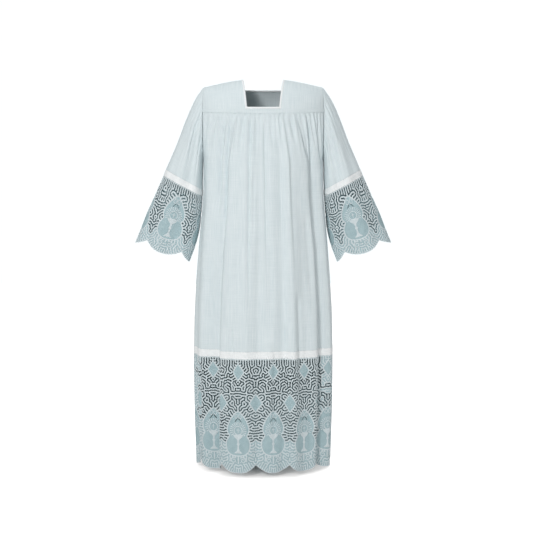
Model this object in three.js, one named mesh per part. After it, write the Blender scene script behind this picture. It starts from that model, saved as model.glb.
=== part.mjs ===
// A full-length lace alb, filled out as it is worn and with nobody in it.
// Millimetres, +Z up, +X to the wearer's left, the front faces -Y.
// The origin is between the two shoulder seams at the neck, where the garment hangs from its wearer.
//
// Every piece is a thin wall: a grid of points on the cloth's outer face, and the same grid one
// cloth thickness further in. The pieces are the ones a maker cuts and sews: two yokes and two
// bindings at the neck, gathered front and back panels, two sleeves, the insertion bands, and the
// lace of the hem and the cuffs, each ring of lace in a front and a back half.
import * as THREE from "three";

// Cloth thicknesses and seams.
const CLOTH = 1.6;
const LACE = 1.6;
const TAPE = 1.2;
const SEAM = 0.3; // between any two pieces

// Neck and yoke.
const YOKE_DROP = 121; // from the shoulder seam's neck end down to the yoke's lower edge
const YOKE_SAG = 7; // how much lower the yoke's edge hangs at the centre
const SHOULDER_HALF = 220; // centre to armhole
const SHOULDER_FALL = 28; // how far the shoulder seam falls from neck to armhole
const NECK_HALF_TOP = 76;
const NECK_FRONT = { half: 58, drop: 99 };
const NECK_BACK = { half: 70, drop: 28 };
const BINDING_WIDTH = 6;
const YOKE_BAND_WIDTH = 15;

// Armhole: an egg that is widest level with the yoke's lower edge.
const ARMHOLE_HALF_DEPTH = 60;
const UNDERARM = -290;

// Body: half sizes of the rounded section at each height.
const ROUNDING = 2.4; // exponent of the section: 2 is an ellipse, more is squarer
const BODY_SECTIONS = [
  { z: -121, halfWidth: 219.7, front: 118, back: 108 },
  { z: -290, halfWidth: 219.7, front: 138, back: 122 },
  { z: -330, halfWidth: 219.9, front: 142, back: 126 },
  { z: -424, halfWidth: 222, front: 150, back: 134 },
  { z: -630, halfWidth: 240, front: 164, back: 152 },
  { z: -830, halfWidth: 254, front: 175, back: 167 },
  { z: -1002, halfWidth: 259, front: 180, back: 175 },
  { z: -1200, halfWidth: 258, front: 183, back: 180 },
  { z: -1416, halfWidth: 252, front: 186, back: 185 },
];

// The largest folds of the body. `top` and `foot` are where each one runs, as a share of the
// panel's width from the left as its own viewer sees it. `left` and `right` are how far its two
// slopes reach. A ridge stands out and a valley has negative depths, at the waist and at the hem.
const FOLDS = [
  { panel: "front", top: 0.07, foot: 0.1, left: 16, right: 16, waist: -5, hem: -9, starts: -240 },
  { panel: "front", top: 0.13, foot: 0.175, left: 20, right: 20, waist: 5, hem: 8, starts: -200 },
  { panel: "front", top: 0.276, foot: 0.258, left: 30, right: 13, waist: -17, hem: -29, starts: -135 },
  { panel: "front", top: 0.33, foot: 0.325, left: 24, right: 32, waist: 5, hem: 8, starts: -200 },
  { panel: "front", top: 0.415, foot: 0.418, left: 34, right: 14, waist: 7, hem: 7, starts: -130 },
  { panel: "front", top: 0.475, foot: 0.475, left: 14, right: 28, waist: -6, hem: -9, starts: -170 },
  { panel: "front", top: 0.6, foot: 0.605, left: 30, right: 13, waist: -9, hem: -23, starts: -150 },
  { panel: "front", top: 0.645, foot: 0.655, left: 13, right: 20, waist: 8, hem: 12, starts: -130 },
  { panel: "front", top: 0.72, foot: 0.72, left: 22, right: 26, waist: -6, hem: -10, starts: -300 },
  { panel: "front", top: 0.825, foot: 0.812, left: 13, right: 28, waist: -19, hem: -29, starts: -125 },
  { panel: "front", top: 0.89, foot: 0.88, left: 18, right: 18, waist: 6, hem: 9, starts: -220 },
  { panel: "back", top: 0.1, foot: 0.12, left: 18, right: 22, waist: -10, hem: -18, starts: -210 },
  { panel: "back", top: 0.2, foot: 0.21, left: 24, right: 20, waist: 6, hem: 9, starts: -170 },
  { panel: "back", top: 0.3, foot: 0.31, left: 26, right: 14, waist: -16, hem: -27, starts: -150 },
  { panel: "back", top: 0.4, foot: 0.4, left: 22, right: 26, waist: 6, hem: 8, starts: -230 },
  { panel: "back", top: 0.52, foot: 0.53, left: 16, right: 28, waist: -8, hem: -16, starts: -260 },
  { panel: "back", top: 0.63, foot: 0.62, left: 26, right: 20, waist: 6, hem: 9, starts: -180 },
  { panel: "back", top: 0.72, foot: 0.71, left: 14, right: 26, waist: -17, hem: -27, starts: -150 },
  { panel: "back", top: 0.82, foot: 0.81, left: 20, right: 22, waist: 6, hem: 9, starts: -220 },
  { panel: "back", top: 0.9, foot: 0.89, left: 20, right: 18, waist: -9, hem: -16, starts: -190 },
];
const FOLD_SETS_IN = 260; // height in which a fold grows from nothing
const FOLD_WAIST = -400; // from here a fold deepens towards the hem
const FOLD_HEM = -1200;
const FOLD_EDGE_FADE = 30; // folds die out this close to a side seam

// Gathers where the panels are drawn up on to the yoke.
const GATHERS = 26;
const GATHER_AT_SEAM = 2.4;
const GATHER_PUFF = 2.4; // extra height a little below the seam
const GATHER_LENGTH = { shortest: 55, longest: 190 };
const STRAIGHT_SHARE = 0.7; // this much of a panel hangs straight past the armholes

// Levels down the garment.
const BODY_ROWS = [-121, -136, -160, -200, -245, -275, -290, -400, -590, -780, -976];
const BODY_FOOT = -976;
const HEM_BAND_FOOT = -1002;
const HEM_FOOT = -1416;

// Sleeve: an oval section from its outer end to its inner end (the underarm side). `widest` is
// where along that line the oval is deepest, from the outer end.
const SLEEVE_SECTIONS = [
  { outerX: 220, outerZ: -28, innerX: 220, innerZ: -290, halfDepth: 60, widest: 0.355 },
  { outerX: 252, outerZ: -75, innerX: 221.3, innerZ: -303, halfDepth: 66, widest: 0.4 },
  { outerX: 285, outerZ: -148, innerX: 222.6, innerZ: -325, halfDepth: 70, widest: 0.44 },
  { outerX: 320, outerZ: -240, innerX: 224, innerZ: -362, halfDepth: 72, widest: 0.47 },
  { outerX: 358, outerZ: -325, innerX: 225.6, innerZ: -400, halfDepth: 73, widest: 0.5 },
  { outerX: 367, outerZ: -347, innerX: 227, innerZ: -424, halfDepth: 73, widest: 0.5 },
  { outerX: 400, outerZ: -420, innerX: 232, innerZ: -487, halfDepth: 71, widest: 0.5 },
  { outerX: 428, outerZ: -480, innerX: 242, innerZ: -545, halfDepth: 69, widest: 0.5 },
  { outerX: 452, outerZ: -540, innerX: 257, innerZ: -605, halfDepth: 67, widest: 0.5 },
  { outerX: 474, outerZ: -594, innerX: 274, innerZ: -666, halfDepth: 65, widest: 0.5 },
];
const SLEEVE_BAND_TOP = 4; // rows of the table above
const SLEEVE_BAND_FOOT = 5;
const CUFF_FOOT = 9;
const SLEEVE_ROUNDING = 2.2;
const SLEEVE_FOLDS = [
  { at: 52, halfWidth: 14, depth: -4 },
  { at: 78, halfWidth: 12, depth: 4 },
  { at: 104, halfWidth: 12, depth: -6 },
  { at: 132, halfWidth: 14, depth: 4 },
  { at: 235, halfWidth: 15, depth: 4 },
  { at: 262, halfWidth: 14, depth: -6 },
  { at: 305, halfWidth: 16, depth: -4 },
];

// Lace. One repeat of the hem lace is a medallion with a small diamond above it and half a
// diamond on each side; the cuffs use its lower part. Heights are measured down from the top.
const HEM_REPEATS = 12; // all round
const CUFF_REPEATS = 4;
const REPEAT_COLUMNS = 8;
const HEM_FIRST_COLUMN = 2; // the chart's column at the side seam
const CUFF_FIRST_COLUMN = 4;
const LACE_DEPTH = 414;
const SCALLOP = 28;
const SCALLOP_SHARPNESS = 2.2;
// The chart of the cut gaps: | upright, / and \ leaning, . closed. Each gap stands square to the
// medallion or the diamond that it lies beside.
const LACE_CHART = [
  { top: 0, cells: ".|....|." },
  { top: 52, cells: "..\\../.." },
  { top: 108, cells: "........" },
  { top: 160, cells: "..\\../.." },
  { top: 212, cells: ".\\..../." },
  { top: 264, cells: "|......|" },
  { top: 318, cells: "./....\\." },
];
const CUFF_CHART_ROW = 3; // the cuffs' lace starts at this row
const GAP_WIDTH = 0.4; // of a cell
const GAP_LENGTH = 0.42;
const GAP_LEAN = { "|": 0, "/": -0.22, "\\": 0.22 };

// Sleeve: columns round it, and where its rows are in the table of its sections.
const SHOULDER_STEPS = 5; // from the shoulder to the yoke's edge, on each side
const SLEEVE_ROWS = [0.5, 1.3, 2.2, 3.2];

const ramp = (x, from, to) => THREE.MathUtils.smoothstep((x - from) / (to - from), 0, 1);
const signedPower = (x, power) => Math.sign(x) * Math.abs(x) ** power;

// A repeatable uneven value from 0 to 1 for the n-th of a row of like things.
function uneven(n) {
  const s = Math.sin(n * 12.9898 + 4.1) * 43758.5453;
  return s - Math.floor(s);
}

// A smooth value of one column of a table, between its rows.
function between(table, key, at, column) {
  const last = table.length - 1;
  const descending = table[0][key] > table[last][key];
  const passed = (row) => (descending ? row[key] > at : row[key] < at);
  let i = 0;
  while (i < last - 1 && passed(table[i + 1])) i += 1;
  const slope = (k) => {
    const a = table[Math.max(k - 1, 0)];
    const b = table[Math.min(k + 1, last)];
    return (b[column] - a[column]) / (b[key] - a[key]);
  };
  const run = table[i + 1][key] - table[i][key];
  const t = THREE.MathUtils.clamp((at - table[i][key]) / run, 0, 1);
  const rise = table[i + 1][column] - table[i][column];
  const a = slope(i) * run - rise;
  const b = rise - slope(i + 1) * run;
  return table[i][column] + rise * t + t * (1 - t) * (a * (1 - t) + b * t);
}

// Half the armhole's depth at a height: where a panel's side edge stands off the middle.
function armholeHalfDepth(z) {
  const below = (-YOKE_DROP - z) / (-YOKE_DROP - UNDERARM);
  return below >= 1 ? 0 : ARMHOLE_HALF_DEPTH * Math.sqrt(1 - Math.max(below, 0) ** 2);
}

// Half of the body's section at one height, without its folds, from one side edge to the other.
class PlainSection extends THREE.Curve {
  constructor(panel, z) {
    super();
    this.outwards = panel === "front" ? -1 : 1;
    this.depth = between(BODY_SECTIONS, "z", z, panel);
    this.z = z;
    this.edge = Math.acos((armholeHalfDepth(z) / this.depth) ** (ROUNDING / 2));
    this.width =
      between(BODY_SECTIONS, "z", z, "halfWidth") / Math.sin(this.edge) ** (2 / ROUNDING);
    this.arcLengthDivisions = 160;
    this.length = this.getLength();
  }

  getPoint(t, target = new THREE.Vector3()) {
    const angle = (2 * t - 1) * this.edge;
    const across = signedPower(Math.sin(angle), 2 / ROUNDING) * this.width;
    const out = Math.max(Math.cos(angle), 0) ** (2 / ROUNDING) * this.depth;
    return target.set(-this.outwards * across, this.outwards * out, this.z);
  }
}

// How far the cloth stands off its plain section, from its gathers and its folds.
function foldHeight(panel, share, z, width) {
  const below = -YOKE_DROP - z;
  const edge = ramp(Math.min(share, 1 - share) * width, 0, FOLD_EDGE_FADE);
  const place = share * GATHERS;
  const n = Math.floor(place) + (panel === "front" ? 0 : GATHERS);
  const reach = THREE.MathUtils.lerp(GATHER_LENGTH.shortest, GATHER_LENGTH.longest, uneven(n));
  const height = GATHER_AT_SEAM + GATHER_PUFF * ramp(below, 0, 25) * (0.5 + uneven(n + 71));
  let out = height * Math.exp(-((below / reach) ** 2)) * Math.cos(2 * Math.PI * place);
  for (const fold of FOLDS.filter((f) => f.panel === panel)) {
    const down = (z + YOKE_DROP) / (HEM_FOOT + YOKE_DROP);
    const off = (share - THREE.MathUtils.lerp(fold.top, fold.foot, down)) * width;
    const depth = THREE.MathUtils.lerp(fold.waist, fold.hem, ramp(-z, -FOLD_WAIST, -FOLD_HEM));
    const slope = off < 0 ? fold.left : fold.right;
    out += depth * ramp(fold.starts - z, 0, FOLD_SETS_IN) * Math.exp(-((off / slope) ** 2));
  }
  return out * edge;
}

// How long a section would be if no armhole cut into it.
function uncutLength(panel, z) {
  const below = (-YOKE_DROP - z) / (-YOKE_DROP - UNDERARM);
  const [atYoke, atUnderarm] = [-YOKE_DROP, UNDERARM].map((level) => new PlainSection(panel, level));
  return THREE.MathUtils.lerp(atYoke.length, atUnderarm.length, below);
}

// Half of the body's section with its folds. Its own arc length is the cloth's width.
class FoldedSection extends THREE.Curve {
  constructor(panel, z) {
    super();
    this.panel = panel;
    this.plain = new PlainSection(panel, z);
    this.stretch = z > UNDERARM ? uncutLength(panel, z) / this.plain.length : 1;
    this.arcLengthDivisions = 600;
  }

  // Where along the section a column of the cloth lies. Beside the armholes the outer columns
  // close up, and the others hang straight.
  columnPlace(share) {
    const off = Math.abs(2 * share - 1);
    const straight = STRAIGHT_SHARE * this.stretch;
    const outer = (off - STRAIGHT_SHARE) / (1 - STRAIGHT_SHARE);
    const place = outer < 0 ? off * this.stretch : THREE.MathUtils.lerp(straight, 1, outer);
    return THREE.MathUtils.clamp(0.5 + (Math.sign(share - 0.5) * place) / 2, 0, 1);
  }

  getPoint(t, target = new THREE.Vector3()) {
    const { plain, panel } = this;
    const place = this.columnPlace(t);
    plain.getPointAt(place, target);
    const along = plain.getTangentAt(place);
    const out = foldHeight(panel, t, plain.z, plain.length);
    target.x += along.y * out;
    target.y -= along.x * out;
    return target;
  }
}

// How much lower than its height in the tables a point of the yoke's seam hangs.
const seamSag = (x) => YOKE_SAG * Math.max(0, 1 - (x / SHOULDER_HALF) ** 2);

// A closed wall from a grid of points on the cloth's face: rows run down, columns run
// anticlockwise seen from above, so that down x along points out. `lift` moves the wall out from
// the grid. `square` turns a normal so that the wall ends square at a seam. `present` says which
// cells hold cloth, and `gap` gives a cell's cut gap, as four corners in shares of the cell in
// the order of its own corners.
function clothWall({
  grid,
  thickness,
  lift = 0,
  closed = false,
  square = () => {},
  present = () => true,
  gap = () => null,
}) {
  const rows = grid.length;
  const columns = grid[0].length;
  const cells = closed ? columns : columns - 1;
  const wrap = (j) => (closed ? (j + columns) % columns : THREE.MathUtils.clamp(j, 0, columns - 1));
  const at = (i, j) => grid[THREE.MathUtils.clamp(i, 0, rows - 1)][wrap(j)];

  const faces = grid.map((row, i) =>
    row.map((point, j) => {
      const down = at(i + 1, j).clone().sub(at(i - 1, j));
      const along = at(i, j + 1).clone().sub(at(i, j - 1));
      const normal = down.cross(along);
      square(normal, i, j);
      normal.normalize();
      return {
        outer: point.clone().addScaledVector(normal, lift),
        inner: point.clone().addScaledVector(normal, lift - thickness),
      };
    }),
  );

  const positions = [];
  const triangle = (a, b, c) => positions.push(...a.toArray(), ...b.toArray(), ...c.toArray());
  const quad = (a, b, c, d) => {
    triangle(a, b, d);
    triangle(b, c, d);
  };
  const holds = (i, j) => i >= 0 && i < rows - 1 && (closed || (j >= 0 && j < cells)) && present(i, wrap(j));

  for (let i = 0; i < rows - 1; i += 1) {
    for (let j = 0; j < cells; j += 1) {
      if (!present(i, j)) continue;
      const corners = [faces[i][j], faces[i + 1][j], faces[i + 1][wrap(j + 1)], faces[i][wrap(j + 1)]];
      const opening = gap(i, j);
      if (opening) {
        addGap(corners, opening, quad);
      } else {
        quad(...corners.map((c) => c.outer));
        quad(...corners.map((c) => c.inner).reverse());
      }
      const neighbours = [holds(i, j - 1), holds(i + 1, j), holds(i, j + 1), holds(i - 1, j)];
      neighbours.forEach((isThere, side) => {
        if (isThere) return;
        const a = corners[side];
        const b = corners[(side + 1) % 4];
        quad(b.outer, a.outer, a.inner, b.inner);
      });
    }
  }
  return new THREE.BufferGeometry().setAttribute(
    "position",
    new THREE.Float32BufferAttribute(positions, 3),
  );
}

// The cloth round one cut gap, on both faces, and the gap's own four edges.
function addGap(corners, opening, quad) {
  const onCell = (face, { across, down }) => {
    const [a, d, c, b] = corners.map((corner) => corner[face]);
    const top = a.clone().lerp(b, across);
    return top.lerp(d.clone().lerp(c, across), down);
  };
  const cut = opening.map((p) => ({ outer: onCell("outer", p), inner: onCell("inner", p) }));
  for (let k = 0; k < 4; k += 1) {
    const next = (k + 1) % 4;
    quad(corners[k].outer, corners[next].outer, cut[next].outer, cut[k].outer);
    quad(cut[k].inner, cut[next].inner, corners[next].inner, corners[k].inner);
    quad(cut[k].outer, cut[next].outer, cut[next].inner, cut[k].inner);
  }
}

// The gap that the chart gives at a place of the lace, or null.
function chartedGap(row, column) {
  const lean = GAP_LEAN[LACE_CHART[row].cells[column % REPEAT_COLUMNS]];
  if (lean === undefined) return null;
  const half = GAP_WIDTH / 2;
  const top = 0.5 - GAP_LENGTH / 2;
  const foot = 0.5 + GAP_LENGTH / 2;
  return [
    { across: 0.5 - lean - half, down: top },
    { across: 0.5 + lean - half, down: foot },
    { across: 0.5 + lean + half, down: foot },
    { across: 0.5 - lean + half, down: top },
  ];
}

// How far the lace's edge rises above the foot of its scallop, at a column of the chart.
function scallopRise(column) {
  const middle = REPEAT_COLUMNS / 2;
  const off = Math.abs((column % REPEAT_COLUMNS) - middle) / middle;
  return SCALLOP * off ** SCALLOP_SHARPNESS;
}

// One material for each kind of cloth in the garment.
const MATERIALS = {
  linen: new THREE.MeshStandardMaterial({ color: "#dfe7ea", roughness: 0.85, metalness: 0 }),
  tape: new THREE.MeshStandardMaterial({ color: "#e8eef0", roughness: 0.8, metalness: 0 }),
  lace: new THREE.MeshStandardMaterial({ color: "#cbd9dc", roughness: 0.9, metalness: 0 }),
};

const alb = new THREE.Group();

function addPiece(name, cloth, wall) {
  const mesh = new THREE.Mesh(clothWall(wall), MATERIALS[cloth]);
  mesh.name = name;
  alb.add(mesh);
}

// The yoke's grid: from the shoulder seam, over the chest or the back, to its lower edge. Its
// profile is a quarter oval, counted by the angle from the seam.
function yokeGrid(panel) {
  const neck = panel === "front" ? NECK_FRONT : NECK_BACK;
  const side = panel === "front" ? 1 : -1;
  const section = new PlainSection(panel, -YOKE_DROP);
  const neckAngle = Math.acos(1 - neck.drop / YOKE_DROP);
  const bindingAngle = neckAngle + BINDING_WIDTH / section.depth;
  const bandAngle = Math.acos(YOKE_BAND_WIDTH / YOKE_DROP);
  const aboveNeck = [0, 0.22, 0.44, 0.64, 0.82, 1].map((s) => s * neckAngle);
  const belowNeck = panel === "front" ? [] : [(bindingAngle + bandAngle) / 2];
  const angles = [...aboveNeck, bindingAngle, ...belowNeck, bandAngle, Math.PI / 2];

  const seamX = SHOULDER_HALF - SEAM;
  const shoulderShares = [0, 0.15, 0.38, 0.68];
  const grid = angles.map((angle) => {
    const narrowed = Math.min(angle / neckAngle, 1);
    const neckHalf = THREE.MathUtils.lerp(NECK_HALF_TOP, neck.half, narrowed);
    const bound = neckHalf + BINDING_WIDTH;
    const shoulder = shoulderShares.map((s) => THREE.MathUtils.lerp(seamX, bound, s));
    const acrossNeck = [1, 2 / 3, 1 / 3, 0, -1 / 3, -2 / 3, -1].map((s) => s * neckHalf);
    const half = [...shoulder, bound];
    const xs = [...half, ...acrossNeck, ...half.map((x) => -x).reverse()];
    return xs.map((x) => yokePoint(-side * x, angle, side, section));
  });
  const firstNeckColumn = shoulderShares.length + 1;
  return {
    grid,
    neckRow: aboveNeck.length - 1,
    bandRow: angles.length - 2,
    neckColumns: [firstNeckColumn, firstNeckColumn + 6],
  };
}

function yokePoint(x, angle, side, section) {
  const out = Math.min(Math.abs(x) / SHOULDER_HALF, 1);
  const past = Math.max(0, (Math.abs(x) - NECK_HALF_TOP) / (SHOULDER_HALF - NECK_HALF_TOP));
  const ridge = -SHOULDER_FALL * past ** 1.3;
  const depth =
    section.depth * (1 - Math.min(Math.abs(x) / section.width, 1) ** ROUNDING) ** (1 / ROUNDING);
  const edge = out >= 1 ? 0 : seamSag(x);
  return new THREE.Vector3(
    x,
    -side * depth * Math.sin(angle) - side * SEAM * 0.5 * Math.cos(angle),
    -YOKE_DROP + (ridge + YOKE_DROP) * Math.cos(angle) - edge * Math.sin(angle) ** 2,
  );
}

function addYoke(panel) {
  const { grid, neckRow, bandRow, neckColumns } = yokeGrid(panel);
  const [from, to] = neckColumns;
  const square = (normal, i) => i === 0 && normal.setY(0);
  const inNeck = (i, j) => i < neckRow && j >= from && j < to;
  const besideNeck = (i, j) => i <= neckRow && (j === from - 1 || j === to);
  const underNeck = (i, j) => i === neckRow && j >= from && j < to;
  addPiece("yoke_" + panel, "linen", {
    grid,
    square,
    thickness: CLOTH,
    present: (i, j) => !inNeck(i, j),
  });
  addPiece("neck_binding_" + panel, "tape", {
    grid,
    square,
    thickness: TAPE,
    lift: SEAM + TAPE,
    present: (i, j) => besideNeck(i, j) || underNeck(i, j),
  });
  addPiece("yoke_band_" + panel, "tape", {
    grid,
    thickness: TAPE,
    lift: SEAM + TAPE,
    present: (i) => i === bandRow,
  });
}

// At the side seams the walls of a front and a back piece end square to each other.
const squareAtSides = (columns) => (normal, i, j) => (j === 0 || j === columns) && normal.setY(0);

// One row of points on the body, evenly spaced along the cloth, clear of both side seams.
function bodyRow(panel, z, columns, heightAt = () => z) {
  return Array.from({ length: columns + 1 }, (_, j) => {
    const height = heightAt(j);
    const section = new FoldedSection(panel, height);
    const clear = SEAM / 2 / section.plain.length;
    return section.getPointAt(THREE.MathUtils.lerp(clear, 1 - clear, j / columns));
  });
}

// The gathered front or back panel, from the yoke down to the insertion band.
function addBodyPanel(panel) {
  const columns = GATHERS * 2;
  const grid = BODY_ROWS.map((level) => {
    const z = level === BODY_ROWS[0] ? level - SEAM : level === BODY_FOOT ? level + SEAM / 2 : level;
    const section = new FoldedSection(panel, z);
    const clear = SEAM / 2 / section.plain.length;
    return Array.from({ length: columns + 1 }, (_, j) => {
      const share = THREE.MathUtils.lerp(clear, 1 - clear, j / columns);
      const point = section.getPoint(share);
      point.z -= seamSag(point.x) * Math.exp(-((-YOKE_DROP - level) / 120));
      return point;
    });
  });
  const square = (normal, i, j) => grid[i][0].z <= UNDERARM && squareAtSides(columns)(normal, i, j);
  addPiece("body_" + panel, "linen", { grid, square, thickness: CLOTH });
}

const hemColumns = (HEM_REPEATS / 2) * REPEAT_COLUMNS;

// The insertion band between the cloth and the hem lace.
function addHemBand(panel) {
  const grid = [BODY_FOOT - SEAM / 2, HEM_BAND_FOOT + SEAM / 2].map((z) => bodyRow(panel, z, hemColumns));
  const square = squareAtSides(hemColumns);
  addPiece("hem_band_" + panel, "tape", { grid, square, thickness: TAPE, lift: TAPE / 2 });
}

// The hem lace, with its charted gaps and its scalloped foot.
function addHemLace(panel) {
  const levels = [...LACE_CHART.map((row) => HEM_BAND_FOOT - SEAM / 2 - row.top), HEM_FOOT];
  const foot = levels.length - 1;
  const column = (j) => j + HEM_FIRST_COLUMN;
  const grid = levels.map((z, i) =>
    i < foot
      ? bodyRow(panel, z, hemColumns)
      : bodyRow(panel, z, hemColumns, (j) => z + scallopRise(column(j))),
  );
  addPiece("hem_lace_" + panel, "lace", {
    grid,
    square: squareAtSides(hemColumns),
    thickness: LACE,
    gap: (i, j) => chartedGap(i, column(j)),
  });
}

// A point of a sleeve. `row` counts the rows of the sections table, with parts of a row between
// them, and `turn` is the angle round the sleeve from its outer edge.
function sleevePoint(side, row, turn) {
  const table = SLEEVE_SECTIONS.map((section, index) => ({ ...section, index }));
  const value = (column) => between(table, "index", row, column);
  const outer = new THREE.Vector2(value("outerX"), value("outerZ"));
  const inner = new THREE.Vector2(value("innerX"), value("innerZ"));
  const widest = value("widest");
  const roundness = 2 / THREE.MathUtils.lerp(2, SLEEVE_ROUNDING, ramp(row, 0, SLEEVE_BAND_TOP));
  const cosine = signedPower(Math.cos(turn), roundness);
  const along = widest - cosine * (cosine > 0 ? widest : 1 - widest);
  const middle = outer.clone().lerp(inner, along);
  const degrees = THREE.MathUtils.radToDeg(turn);
  const depth = value("halfDepth") + sleeveFold(side > 0 ? 360 - degrees : degrees, row);
  const y = side * signedPower(Math.sin(turn), roundness) * depth;
  return new THREE.Vector3(side * middle.x, y, middle.y);
}

// Soft folds that run down a sleeve, by the angle from its outer edge round its front.
function sleeveFold(degrees, row) {
  const grown = ramp(row, 0, 2.5);
  return SLEEVE_FOLDS.reduce(
    (sum, fold) => sum + fold.depth * grown * Math.exp(-(((degrees - fold.at) / fold.halfWidth) ** 2)),
    0,
  );
}

// A ring, or a half, of sleeve points. `inset` moves the row along the sleeve for a seam's gap.
function sleeveRow(side, row, turns, inset = 0, rise = () => 0) {
  return turns.map((turn, j) => {
    const here = row - rise(j);
    const point = sleevePoint(side, here, turn);
    if (!inset) return point;
    const ahead = sleevePoint(side, here + Math.sign(inset) * 0.2, turn);
    return point.add(ahead.sub(point).setLength(Math.abs(inset)));
  });
}

// Angles round one sleeve row that space its columns evenly along the cloth.
function evenTurns(side, row, columns, from = 0, to = 2 * Math.PI, clear = 0) {
  class Ring extends THREE.Curve {
    getPoint(t) {
      return sleevePoint(side, row, THREE.MathUtils.lerp(from, to, t));
    }
  }
  const ring = new Ring();
  ring.arcLengthDivisions = 360;
  const trim = clear / ring.getLength();
  return Array.from({ length: columns + 1 }, (_, j) => {
    const share = THREE.MathUtils.lerp(trim, 1 - trim, j / columns);
    return THREE.MathUtils.lerp(from, to, ring.getUtoTmapping(share));
  });
}

// The angles round an armhole at which a sleeve's columns start: even steps over the yoke, and
// level with the body's rows below it.
function armholeTurns() {
  const overYoke = Array.from({ length: SHOULDER_STEPS }, (_, k) => (k / SHOULDER_STEPS) * (Math.PI / 2));
  const levels = BODY_ROWS.filter((z) => z >= UNDERARM);
  const besideBody = levels.map((z) => Math.acos((z + YOKE_DROP) / (-YOKE_DROP - UNDERARM)));
  const half = [...overYoke, ...besideBody];
  const back = half.slice(1, -1).map((turn) => 2 * Math.PI - turn);
  return [...half, ...back.reverse()];
}

function addSleeve(side, name) {
  const armhole = armholeTurns();
  const columns = armhole.length;
  const ring = (at, inset) => sleeveRow(side, at, evenTurns(side, at, columns).slice(0, columns), inset);
  const grid = [
    sleeveRow(side, 0, armhole),
    ...SLEEVE_ROWS.map((at) => ring(at, 0)),
    ring(SLEEVE_BAND_TOP, -SEAM / 2),
  ];
  const square = (normal, i) => i === 0 && normal.setX(0);
  addPiece("sleeve_" + name, "linen", { grid, square, thickness: CLOTH, closed: true });

  const bandColumns = CUFF_REPEATS * REPEAT_COLUMNS;
  const bandRow = (at, inset) =>
    sleeveRow(side, at, evenTurns(side, at, bandColumns).slice(0, bandColumns), inset);
  addPiece("sleeve_band_" + name, "tape", {
    grid: [bandRow(SLEEVE_BAND_TOP, SEAM / 2), bandRow(SLEEVE_BAND_FOOT, -SEAM / 2)],
    thickness: TAPE,
    lift: TAPE / 2,
    closed: true,
  });
}

// Half of a cuff's lace, split at the sleeve's outer and inner edges.
function addCuffLace(side, name, half) {
  const from = (half === "front") === side < 0 ? 0 : Math.PI;
  const columns = (CUFF_REPEATS / 2) * REPEAT_COLUMNS;
  const chart = LACE_CHART.slice(CUFF_CHART_ROW);
  const depth = LACE_DEPTH - chart[0].top;
  const rowAt = (down) => THREE.MathUtils.lerp(SLEEVE_BAND_FOOT, CUFF_FOOT, down / depth);
  const downs = [...chart.map((row) => row.top - chart[0].top), depth];
  const column = (j) => j + CUFF_FIRST_COLUMN;
  const riseInRows = (j) => (scallopRise(column(j)) / depth) * (CUFF_FOOT - SLEEVE_BAND_FOOT);
  const grid = downs.map((down, i) => {
    const at = rowAt(down);
    const turns = evenTurns(side, at, columns, from, from + Math.PI, SEAM / 2);
    const inset = i === 0 ? SEAM / 2 : 0;
    return sleeveRow(side, at, turns, inset, i === downs.length - 1 ? riseInRows : undefined);
  });
  addPiece(`cuff_lace_${name}_${half}`, "lace", {
    grid,
    square: squareAtSides(columns),
    thickness: LACE,
    gap: (i, j) => chartedGap(i + CUFF_CHART_ROW, column(j)),
  });
}

for (const panel of ["front", "back"]) {
  addYoke(panel);
  addBodyPanel(panel);
  addHemBand(panel);
  addHemLace(panel);
}
for (const [name, side] of [["left", 1], ["right", -1]]) {
  addSleeve(side, name);
  addCuffLace(side, name, "front");
  addCuffLace(side, name, "back");
}

export default alb;
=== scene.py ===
import math

import bpy
import numpy as np
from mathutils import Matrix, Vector
from mathutils.geometry import delaunay_2d_cdt


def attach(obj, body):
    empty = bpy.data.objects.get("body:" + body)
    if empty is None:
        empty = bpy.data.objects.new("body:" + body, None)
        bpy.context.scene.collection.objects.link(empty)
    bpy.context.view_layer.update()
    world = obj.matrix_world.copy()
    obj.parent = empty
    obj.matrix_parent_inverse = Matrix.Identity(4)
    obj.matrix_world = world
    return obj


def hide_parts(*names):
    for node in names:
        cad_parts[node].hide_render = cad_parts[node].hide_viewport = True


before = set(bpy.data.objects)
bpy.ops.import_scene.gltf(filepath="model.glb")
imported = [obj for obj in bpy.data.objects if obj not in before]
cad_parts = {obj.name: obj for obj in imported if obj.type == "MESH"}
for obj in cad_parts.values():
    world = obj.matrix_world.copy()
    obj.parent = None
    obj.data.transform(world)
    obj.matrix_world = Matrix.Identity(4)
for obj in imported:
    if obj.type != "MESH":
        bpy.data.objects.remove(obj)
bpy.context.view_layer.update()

bpy.ops.object.select_all(action="DESELECT")

MM = 0.001  # millimetres to metres

# Thickness of the linen and of the tape, and the space between two pieces at a seam.
CLOTH = 0.9
TAPE = 0.9
SEAM = 0.3

# The sign that turns what is drawn once to the front or the back, and to the left or the right.
SIDE = {"front": 1, "back": -1}
ARMS = {"left": 1, "right": -1}

# Neck and yoke: the yoke's foot and its sag in the middle, the shoulder's end and its fall, the neck
# opening's half width at the shoulder, and its half width and drop at its foot.
YOKE_DROP = 121
YOKE_SAG = 7
SHOULDER_HALF = 220
SHOULDER_FALL = 28
NECK_HALF_TOP = 76
NECK = {"front": {"half": 58, "drop": 99}, "back": {"half": 70, "drop": 28}}
YOKE_BAND_WIDTH = 15
ARMHOLE_HALF_DEPTH = 60
UNDERARM = -290

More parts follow.
